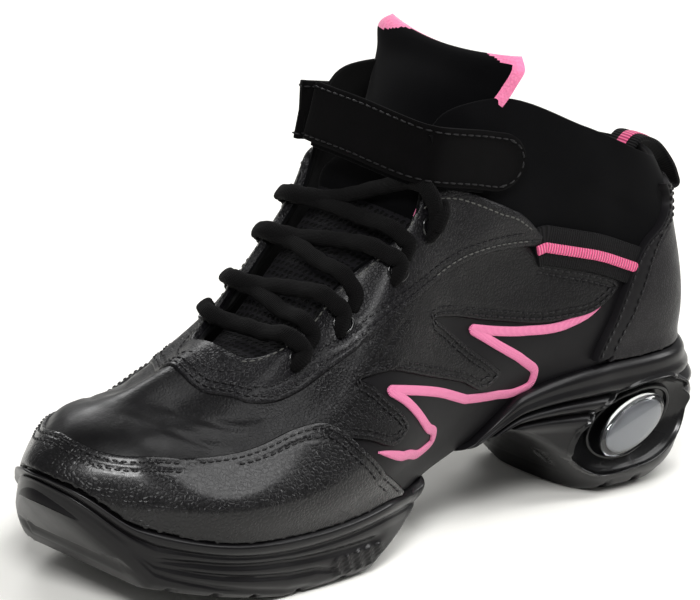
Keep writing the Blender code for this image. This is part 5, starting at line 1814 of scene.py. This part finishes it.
def window_pieces():
    """The pods, the moulded bowl behind each with its raised lip, and the ribbed crescent over it."""
    for side, word in ((1.0, "outer"), (-1.0, "inner")):
        face = abs(WINDOW_FACE[side])
        centre = (WINDOW_CENTRE[0], side * (face + CAPSULE_DEPTH / 2 + 0.0007), WINDOW_CENTRE[1])
        half = (CAPSULE_HALF[0], CAPSULE_DEPTH / 2, CAPSULE_HALF[1])
        ellipsoid_piece(
            "capsule_%s_shell" % word, centre, half, CAPSULE_TILT, FINISHES["capsule"], "capsule_" + word
        )
        # A grey core in the clear shell; its pale grey is partly painted reflection.
        inner = (half[0] * 0.82, half[1] * 0.40, half[2] * 0.76)
        ellipsoid_piece("capsule_%s_core" % word, centre, inner, CAPSULE_TILT, FINISHES["core"])
        angle = np.linspace(0.0, 2 * math.pi, 161)[:-1]
        x, z = window_place(0.60, angle, CAPSULE_TILT, -0.0010)
        ring = np.stack([x, side * (dish_depth(x, z, side) + 0.0004), z], 1)
        torus(ring, "capsule_%s_ring" % word, 0.0009, FINISHES["gloss_rubber"])
        bowl(side, word)
        crescent(side, word)


def wall_out(x, z, side):
    """How far out the heel's plain wall stands at places beside the window."""
    known = np.concatenate(HEEL_WALL_PLACES)
    known = known[(known[:, 1] * side > 0.012) & (known[:, 2] < 0.052)]
    found = []
    for a, b in zip(np.ravel(x), np.ravel(z)):
        away = (known[:, 0] - a) ** 2 + (known[:, 2] - b) ** 2
        near = np.argpartition(away, 8)[:8]
        weight = 1.0 / (away[near] + 1e-7)
        found.append(np.sum(np.abs(known[near, 1]) * weight) / np.sum(weight))
    return np.array(found).reshape(np.shape(x))


def bowl(side, word):
    """The glossy bowl pressed into the heel's side, with a narrow lip where it meets the wall."""
    turns = 160
    angle = np.arange(turns) * 2 * math.pi / turns
    trial = np.linspace(0.80, 1.0, 21)
    grid_x, grid_z = window_place(trial[None, :], angle[:, None])
    meets = dish_depth(grid_x, grid_z, side) >= wall_out(grid_x, grid_z, side)
    edge = np.where(meets.any(axis=1), trial[np.argmax(meets, axis=1)], 1.0)
    for _ in range(6):
        edge = 0.25 * np.roll(edge, 1) + 0.5 * edge + 0.25 * np.roll(edge, -1)
    steps = np.concatenate([np.linspace(0.30, 0.88, 12), np.linspace(0.90, 1.12, 23)])
    share = edge[:, None] * steps[None, :]
    x, z = window_place(share, angle[:, None])
    wall = wall_out(x, z, side)
    out = np.where(steps[None, :] < 1.0, np.minimum(dish_depth(x, z, side), wall + 0.0008), wall)
    for _ in range(2):
        out[:, 12:-1] = 0.25 * out[:, 11:-2] + 0.5 * out[:, 12:-1] + 0.25 * out[:, 13:]
    out = out + 0.0011 * np.exp(-(((steps - 1.02) / 0.030) ** 2))[None, :]
    out = out - 0.0010 * smooth((steps - 1.06) / 0.06)[None, :]
    front = np.stack([x, side * out, z], -1)
    back = front - (0.0, side * 0.0012, 0.0)
    rows = np.concatenate([front, back[:, ::-1]], axis=1)
    count = rows.shape[1]
    faces = ring_faces(turns, count)
    return add_piece(
        "capsule_%s_bowl" % word, rows.reshape(-1, 3), faces, FINISHES["bowl"], smooth_angle=60.0
    )


def torus(loop, name, radius, finish, sides=12):
    """A closed cord of round section along a closed loop."""
    ahead = unit(np.roll(loop, -1, 0) - np.roll(loop, 1, 0))
    out = np.tile([0.0, 1.0, 0.0], (len(loop), 1))
    side = unit(np.cross(ahead, out))
    angle = np.arange(sides) * 2 * math.pi / sides
    points = loop[:, None] + radius * (
        np.cos(angle)[None, :, None] * side[:, None] + np.sin(angle)[None, :, None] * out[:, None]
    )
    return add_piece(name, points.reshape(-1, 3), ring_faces(len(loop), sides), finish)


# The ribbed crescent: its ribs, the share of the rim that it runs along, its angles, and its rise in metres.
RIB_COUNT, RIB_STEPS, RIB_SHARE = 34, 4, 0.855
RIB_FROM, RIB_TO = math.radians(42), math.radians(112)
RIB_BASE, RIB_RISE, RIB_UNDER = 0.0003, 0.00035, 0.0012


def crescent(side, word):
    """A band of fine ribs between the ring and the rim, over the window's upper rear part."""
    total = RIB_COUNT * RIB_STEPS
    rows = []
    for k, angle in enumerate(np.linspace(RIB_FROM, RIB_TO, total + 1)):
        fade = min(1.0, 6.0 * min(k, total - k) / total)
        raised = RIB_BASE + RIB_RISE * (0.5 - 0.5 * math.cos(2 * math.pi * k / RIB_STEPS))
        row = []
        for away, high in ((-0.075, 0.0), (-0.065, raised), (0.0, raised), (0.065, raised), (0.075, 0.0)):
            x, z = window_place(RIB_SHARE + away * max(0.15, fade), angle)
            row.append((x, side * (dish_depth(x, z, side) + high), z))
        x, z = window_place(RIB_SHARE, angle)
        row.append((x, side * (dish_depth(x, z, side) - RIB_UNDER), z))
        rows.append(row)
    points = np.array(rows).reshape(-1, 3)
    return add_piece(
        "capsule_%s_ribs" % word, points, tube_faces(len(rows), 6), FINISHES["rubber"], smooth_angle=25.0
    )


def insole_piece():
    """The insole that lies in the shoe, over the two soles and the sling between them."""
    count = 160
    around = np.arange(count) * RIBS / count
    line = feather(around)
    out = feather_outward(around)
    x = line[:, 0] - along(0.0)
    arch = smooth((x - HEEL_CUT_HIGH + 0.02) / 0.02) * smooth((FORE_CUT_HIGH + 0.02 - x) / 0.02)
    floor = underside(line[:, 0]) + arch * (WALL + CLEARANCE)
    rings = []
    for height, inward in (
        (0.0002, 0.0022),
        (INSOLE_THICKNESS - 0.0012, 0.0020),
        (INSOLE_THICKNESS - 0.0004, 0.0024),
        (INSOLE_THICKNESS, 0.0032),
    ):
        ring = line - inward * out
        ring[:, 2] = floor + height
        rings.append(ring)
    return ring_solid("insole_pad", rings, FINISHES["insole"], "insole")


def overlay_panels():
    """The leather over the shell: toe guard, quarter, eyestay, counter and its binding."""
    guard_ribs = np.linspace(-4.30, 4.30, 120)
    guard_low = np.stack([guard_ribs, rim_level(guard_ribs % RIBS, fore_rim, 0.0004)], 1)
    guard_high = stroke(both_sides(GUARD_HIGH))
    guard_high[:, 1] = np.maximum(guard_high[:, 1], rim_level(guard_high[:, 0] % RIBS, fore_rim, 0.0010))
    first = np.array([guard_high[0], guard_low[0]])
    last = np.array([guard_low[-1], guard_high[-1]])
    strokes = [guard_high[::-1], first, guard_low, last]
    panel("toe_guard_leather", strokes, 0.0024, 0.0013, FINISHES["guard"], "toe_guard",
          ((0.0019, (0,)), (0.0044, (0,))), base=0.0012)

    low = stroke(both_sides(EYESTAY_LOW))
    leaf = stroke(LEAF_TOP)
    top = np.stack([np.linspace(4.20, -4.20, 90), np.full(90, 3.95)], 1)
    corner = stroke([EYESTAY_LOW[-1], LEAF_TOP[0]])
    strokes = [low, corner, leaf, np.concatenate([leaf[-1:], top]), mirrored(leaf), mirrored(corner)]
    panel("eyestay_leather", strokes, 0.0023, 0.0012, FINISHES["pebbled"], "eyestay",
          ((0.0018, (0,)), (0.0042, (0,))), base=0.0013)
    SEWN["dark"].append((stroke(both_sides(THROAT_TAB)), 0.0023))
    for turn in (False, True):
        edge = np.stack([np.linspace(0.95, 4.2, 60), np.full(60, 3.86)], 1)
        leaf_line = stroke([(4.35, 3.72), (4.86, 3.40), (5.34, 3.13), (5.76, 2.85), (5.98, 2.62)])
        under = stroke([(5.95, 2.50), (5.56, 2.63), (5.05, 2.76), (4.62, 2.81)])
        for line in (edge, leaf_line, under):
            SEWN["pale"].append((mirrored(line) if turn else line, 0.0023))

    upper_edge = stroke(both_sides(QUARTER_HIGH))
    down = stroke(QUARTER_TOP)
    zigzag = [stroke(run) for run in ZIGZAG]
    front = stroke(both_sides(VAMP_FRONT))
    outer_side = [down] + zigzag
    strokes = [upper_edge] + outer_side + [front[::-1]] + [mirrored(line) for line in outer_side[::-1]]
    sewn_on = tuple(range(1, len(outer_side) + 1)) + tuple(range(len(outer_side) + 2, len(strokes)))
    panel("quarter_leather", strokes, 0.0014, 0.0010, FINISHES["vamp"], "quarter",
          ((0.0015, sewn_on), (0.0032, sewn_on)))

    front = stroke(COUNTER_FRONT)
    low_ribs = np.linspace(front[0, 0], RIBS - front[0, 0], 60)
    low = np.stack([low_ribs, rim_level(low_ribs, heel_rim, 0.0004)], 1)
    high_ribs = np.linspace(front[-1, 0], RIBS - front[-1, 0], 50)
    from_end = np.minimum(high_ribs - front[-1, 0], RIBS - front[-1, 0] - high_ribs)
    high = np.stack([high_ribs, 2.86 + 0.12 * smooth(from_end / 0.8)], 1)
    other = np.stack([RIBS - front[::-1, 0], front[::-1, 1]], 1)
    strokes = [low, other[::-1], high[::-1], front[::-1]]
    panel("counter_leather", strokes, 0.0022, 0.0013, FINISHES["counter"], "heel_counter", ((0.0018, (2,)),))

    for turn in (False, True):
        shifted = front - (BINDING_WIDTH, 0.0)
        pieces = [front + (0.05, 0.0), np.array([front[-1] + (0.05, 0.0), shifted[-1]]), shifted[::-1],
                  np.array([shifted[0], front[0] + (0.05, 0.0)])]
        if turn:
            pieces = [np.stack([RIBS - line[::-1, 0], line[::-1, 1]], 1) for line in reversed(pieces)]
        long_sides = (1, 3) if turn else (0, 2)
        panel("binding_" + ("inner" if turn else "outer"), pieces, 0.0031, 0.0010, FINISHES["binding"], None,
              ((0.0012, long_sides),), base=0.0006)


def tape_pieces():
    """The ribbed ankle tapes with their raised pink stripe, on both sides."""
    for turn in (False, True):
        word = "inner" if turn else "outer"
        rows = np.array(TAPE_EDGES)
        ribs = np.linspace(rows[0, 0] - 0.10, rows[-1, 0] - 0.04, 90)
        low, high = (np.interp(ribs, rows[:, 0], rows[:, k]) for k in (1, 2))
        middle = np.stack([ribs, 0.5 * (low + high)], 1)
        stripe = np.stack([ribs, low + 0.44 * (high - low)], 1)
        if turn:
            middle[:, 0], stripe[:, 0] = RIBS - middle[:, 0], RIBS - stripe[:, 0]
        ribbon_on("tape_%s_web" % word, middle, 0.0012, 0.0062, 0.0009, FINISHES["tape"], (0, 0),
                  "tape_" + word, 0.4)
        ribbon_on("tape_%s_stripe" % word, stripe, 0.0024, 0.0016, 0.0005, FINISHES["pink_tape"], (0, 0))


def pink_lines():
    """The narrow satin-stitched line that follows the quarter's edge, in three runs on each side."""
    for k, run in enumerate(PINK_RUNS):
        for turn in (False, True):
            line = stroke(run)
            if turn:
                line = np.stack([RIBS - line[:, 0], line[:, 1]], 1)
            ends = (0.010 if k == 0 else 0.0015, 0.010 if k == len(PINK_RUNS) - 1 else 0.0015)
            name = "pink_line_%s_%d" % ("inner" if turn else "outer", k)
            ribbon_on(name, line, 0.0004, 0.00155, 0.0006, FINISHES["satin"], ends)


# Points along the side and round the cut end, and rows up the wall.
FORE_STEPS = (170, 14, 40)
HEEL_STEPS = (200, 14, 60)


def sole_piece(part):
    """The front sole or the heel sole."""
    if part == "front":
        cuts = (FORE_CUT_LOW, FORE_CUT_HIGH)
        return sole(
            "front_sole", 0, cuts, FORE_WALL, fore_tread, fore_rim, FORE_GROOVES, fore_relief,
            "sole_forefoot", FORE_STEPS, FINISHES["rubber"],
        )
    cuts = (HEEL_CUT_LOW, HEEL_CUT_HIGH)
    return sole(
        "heel_sole", HEEL_RIB, cuts, HEEL_WALL, heel_tread, heel_rim, HEEL_GROOVES, None,
        "sole_heel", HEEL_STEPS, FINISHES["rubber"],
    )


def all_stitches(settings):
    """The seams of the panels, and the finer pale ones round the eyestay."""
    pitch, thick = settings.stitch_pitch, settings.stitch_thick
    add_stitches("seam_stitches", SEWN["dark"], FINISHES["thread"], pitch, thick)
    add_stitches("pale_stitches", SEWN["pale"], FINISHES["pale_thread"], PALE_PITCH, PALE_THICK)


# The stage

# The camera stands where the photo was taken from, with a long lens.
CAMERA_AZIMUTH = math.radians(42.992)
CAMERA_ELEVATION = math.radians(17.466)
CAMERA_ROLL = math.radians(3.191)
CAMERA_PLACE = (1.28381, 1.262, 0.61527)
CAMERA_LENS, CAMERA_SENSOR = 304.3, 36.0
LIGHTS = (
    # name, place, target, size, watts
    ("key", (0.80, 0.68, 0.92), (0.12, 0.0, 0.04), (0.35, 0.35), 12.0),
    ("top", (-0.25, 0.45, 1.20), (0.06, 0.0, 0.04), (0.8, 0.7), 9.0),
    ("side", (-0.95, 0.50, 0.72), (-0.02, 0.0, 0.04), (0.4, 0.4), 5.0),
    ("rim", (-0.30, -0.95, 0.80), (0.06, 0.0, 0.06), (0.5, 0.5), 6.0),
)
SURROUND_STRENGTH = 0.30
FLOOR_SIZE = 14.0


def aim(azimuth, elevation, roll):
    """Right, up and back of a camera that looks at the origin from these angles."""
    back = np.array(
        [
            math.sin(azimuth) * math.cos(elevation),
            math.cos(azimuth) * math.cos(elevation),
            math.sin(elevation),
        ]
    )
    level = np.array([-math.cos(azimuth), math.sin(azimuth), 0.0])
    rise = np.cross(back, level)
    right = math.cos(roll) * level + math.sin(roll) * rise
    return right, -math.sin(roll) * level + math.cos(roll) * rise, back


def add_camera():
    """The camera at the photo's angle to the shoe."""
    lens = bpy.data.cameras.new("camera")
    made = bpy.data.objects.new("camera", lens)
    bpy.context.scene.collection.objects.link(made)
    right, up, back = aim(CAMERA_AZIMUTH, CAMERA_ELEVATION, CAMERA_ROLL)
    turn = Matrix([(right[k], up[k], back[k], 0.0) for k in range(3)] + [(0.0, 0.0, 0.0, 1.0)])
    made.matrix_world = Matrix.Translation(CAMERA_PLACE) @ turn
    lens.lens = CAMERA_LENS
    lens.sensor_width = CAMERA_SENSOR
    lens.clip_start = 0.05
    lens.clip_end = 50.0
    bpy.context.scene.camera = made


def add_light(name, place, target, sizes, power):
    """A soft rectangular light at a place, turned to its target."""
    data = bpy.data.lights.new(name, "AREA")
    data.shape = "RECTANGLE"
    data.size, data.size_y = sizes
    data.energy = power
    made = bpy.data.objects.new(name, data)
    bpy.context.scene.collection.objects.link(made)
    made.location = place
    made.rotation_euler = (Vector(target) - Vector(place)).to_track_quat("-Z", "Y").to_euler()


def add_stage():
    """A wide pale floor, a white surround, and large soft lights over and beside the shoe."""
    world = bpy.data.worlds.new("surround")
    world.use_nodes = True
    ground = world.node_tree.nodes["Background"]
    ground.inputs["Color"].default_value = (1.0, 1.0, 1.0, 1.0)
    ground.inputs["Strength"].default_value = SURROUND_STRENGTH
    bpy.context.scene.world = world
    bpy.context.scene.view_settings.view_transform = "Standard"
    bpy.ops.mesh.primitive_plane_add(size=FLOOR_SIZE, location=(0.0, 0.0, 0.0))
    floor = bpy.context.object
    floor.name = "floor"
    paper = principled("background_paper", "#F7F6F1", 0.9, Specular_IOR_Level=0.2)[0]
    floor.data.materials.append(paper)
    for row in LIGHTS:
        add_light(*row)


# Settings, operators and panel


class SneakerSettings(bpy.types.PropertyGroup):
    """What a user may change before building the shoe"""

    pink: bpy.props.StringProperty(
        name="Tape pink", description="Colour of the woven pink stripes", default="#E8628F"
    )
    pink_line: bpy.props.StringProperty(
        name="Line pink", description="Colour of the satin line on the quarter", default="#EC8AB2"
    )
    strap_width: bpy.props.FloatProperty(
        name="Strap width", description="Width of the ankle strap", default=STRAP_WIDTH, unit="LENGTH"
    )
    lace_width: bpy.props.FloatProperty(
        name="Lace width", description="Width of the lace", default=LACE_WIDTH, unit="LENGTH"
    )
    stitch_pitch: bpy.props.FloatProperty(
        name="Stitch pitch", description="Distance from one stitch to the next", default=0.0026, unit="LENGTH"
    )
    stitch_thick: bpy.props.FloatProperty(
        name="Thread", description="Half the thickness of the sewing thread", default=0.0003, unit="LENGTH"
    )


class SNEAKER_OT_upper(bpy.types.Operator):
    """Build the hollow upper with its lining and rolled collar"""

    bl_idname = "sneaker.upper"
    bl_label = "Upper"

    def execute(self, context):
        make_finishes(context.scene.sneaker)
        shell_piece([FINISHES["side"], FINISHES["nubuck"], FINISHES["lining"]])
        return {"FINISHED"}


class SNEAKER_OT_panels(bpy.types.Operator):
    """Build the toe guard, quarter, eyestay, counter and binding"""

    bl_idname = "sneaker.panels"
    bl_label = "Leather panels"

    def execute(self, context):
        make_finishes(context.scene.sneaker)
        overlay_panels()
        return {"FINISHED"}


class SNEAKER_OT_trim(bpy.types.Operator):
    """Build the ankle tapes and the satin line"""

    bl_idname = "sneaker.trim"
    bl_label = "Tapes and line"

    def execute(self, context):
        make_finishes(context.scene.sneaker)
        tape_pieces()
        pink_lines()
        return {"FINISHED"}


class SNEAKER_OT_tongue(bpy.types.Operator):
    """Build the padded tongue"""

    bl_idname = "sneaker.tongue"
    bl_label = "Tongue"

    def execute(self, context):
        make_finishes(context.scene.sneaker)
        tongue_piece([FINISHES["mesh"], FINISHES["nubuck"], FINISHES["pink_lining"]])
        return {"FINISHED"}


class SNEAKER_OT_insole(bpy.types.Operator):
    """Build the insole"""

    bl_idname = "sneaker.insole"
    bl_label = "Insole"

    def execute(self, context):
        make_finishes(context.scene.sneaker)
        insole_piece()
        return {"FINISHED"}


class SNEAKER_OT_strap(bpy.types.Operator):
    """Build the ankle strap and the pull loop"""

    bl_idname = "sneaker.strap"
    bl_label = "Strap and loop"

    def execute(self, context):
        make_finishes(context.scene.sneaker)
        strap_pieces(context.scene.sneaker.strap_width)
        loop_pieces()
        return {"FINISHED"}


class SNEAKER_OT_laces(bpy.types.Operator):
    """Build the laces and the rims of their eyelets"""

    bl_idname = "sneaker.laces"
    bl_label = "Laces"

    def execute(self, context):
        make_finishes(context.scene.sneaker)
        lace_pieces(context.scene.sneaker.lace_width)
        eyelet_rings()
        return {"FINISHED"}


class SNEAKER_OT_soles(bpy.types.Operator):
    """Build the front sole and the heel sole"""

    bl_idname = "sneaker.soles"
    bl_label = "Soles"

    def execute(self, context):
        make_finishes(context.scene.sneaker)
        sole_piece("front")
        sole_piece("heel")
        return {"FINISHED"}


class SNEAKER_OT_window(bpy.types.Operator):
    """Build the clear pods in the heel with their rings and ribs"""

    bl_idname = "sneaker.window"
    bl_label = "Heel pods"

    def execute(self, context):
        make_finishes(context.scene.sneaker)
        window_pieces()
        return {"FINISHED"}


class SNEAKER_OT_stitches(bpy.types.Operator):
    """Sew the seams of the panels built so far"""

    bl_idname = "sneaker.stitches"
    bl_label = "Stitches"

    def execute(self, context):
        make_finishes(context.scene.sneaker)
        all_stitches(context.scene.sneaker)
        return {"FINISHED"}


class SNEAKER_OT_stage(bpy.types.Operator):
    """Add the floor, the lights and the camera"""

    bl_idname = "sneaker.stage"
    bl_label = "Stage"

    def execute(self, context):
        add_stage()
        add_camera()
        return {"FINISHED"}


OPERATORS = (
    SNEAKER_OT_upper,
    SNEAKER_OT_panels,
    SNEAKER_OT_trim,
    SNEAKER_OT_tongue,
    SNEAKER_OT_insole,
    SNEAKER_OT_strap,
    SNEAKER_OT_laces,
    SNEAKER_OT_soles,
    SNEAKER_OT_window,
    SNEAKER_OT_stitches,
    SNEAKER_OT_stage,
)


class SNEAKER_PT_main(bpy.types.Panel):
    """The sneaker's settings and builders"""

    bl_idname = "SNEAKER_PT_main"
    bl_label = "Dance sneaker"
    bl_space_type = "VIEW_3D"
    bl_region_type = "UI"
    bl_category = "Sneaker"

    def draw(self, context):
        for key in SneakerSettings.__annotations__:
            self.layout.prop(context.scene.sneaker, key)
        for kind in OPERATORS:
            self.layout.operator(kind.bl_idname)


def register():
    """Adds the settings, the operators and the panel to Blender."""
    bpy.utils.register_class(SneakerSettings)
    for kind in OPERATORS + (SNEAKER_PT_main,):
        bpy.utils.register_class(kind)
    bpy.types.Scene.sneaker = bpy.props.PointerProperty(type=SneakerSettings)


def unregister():
    """Takes them away again."""
    del bpy.types.Scene.sneaker
    for kind in (SNEAKER_PT_main,) + OPERATORS[::-1]:
        bpy.utils.unregister_class(kind)
    bpy.utils.unregister_class(SneakerSettings)


def main():
    """Builds every group in turn."""
    bpy.ops.object.select_all(action="DESELECT")
    register()
    for kind in OPERATORS:
        group, name = kind.bl_idname.split(".")
        getattr(getattr(bpy.ops, group), name)()


if __name__ == "__main__":
    main()
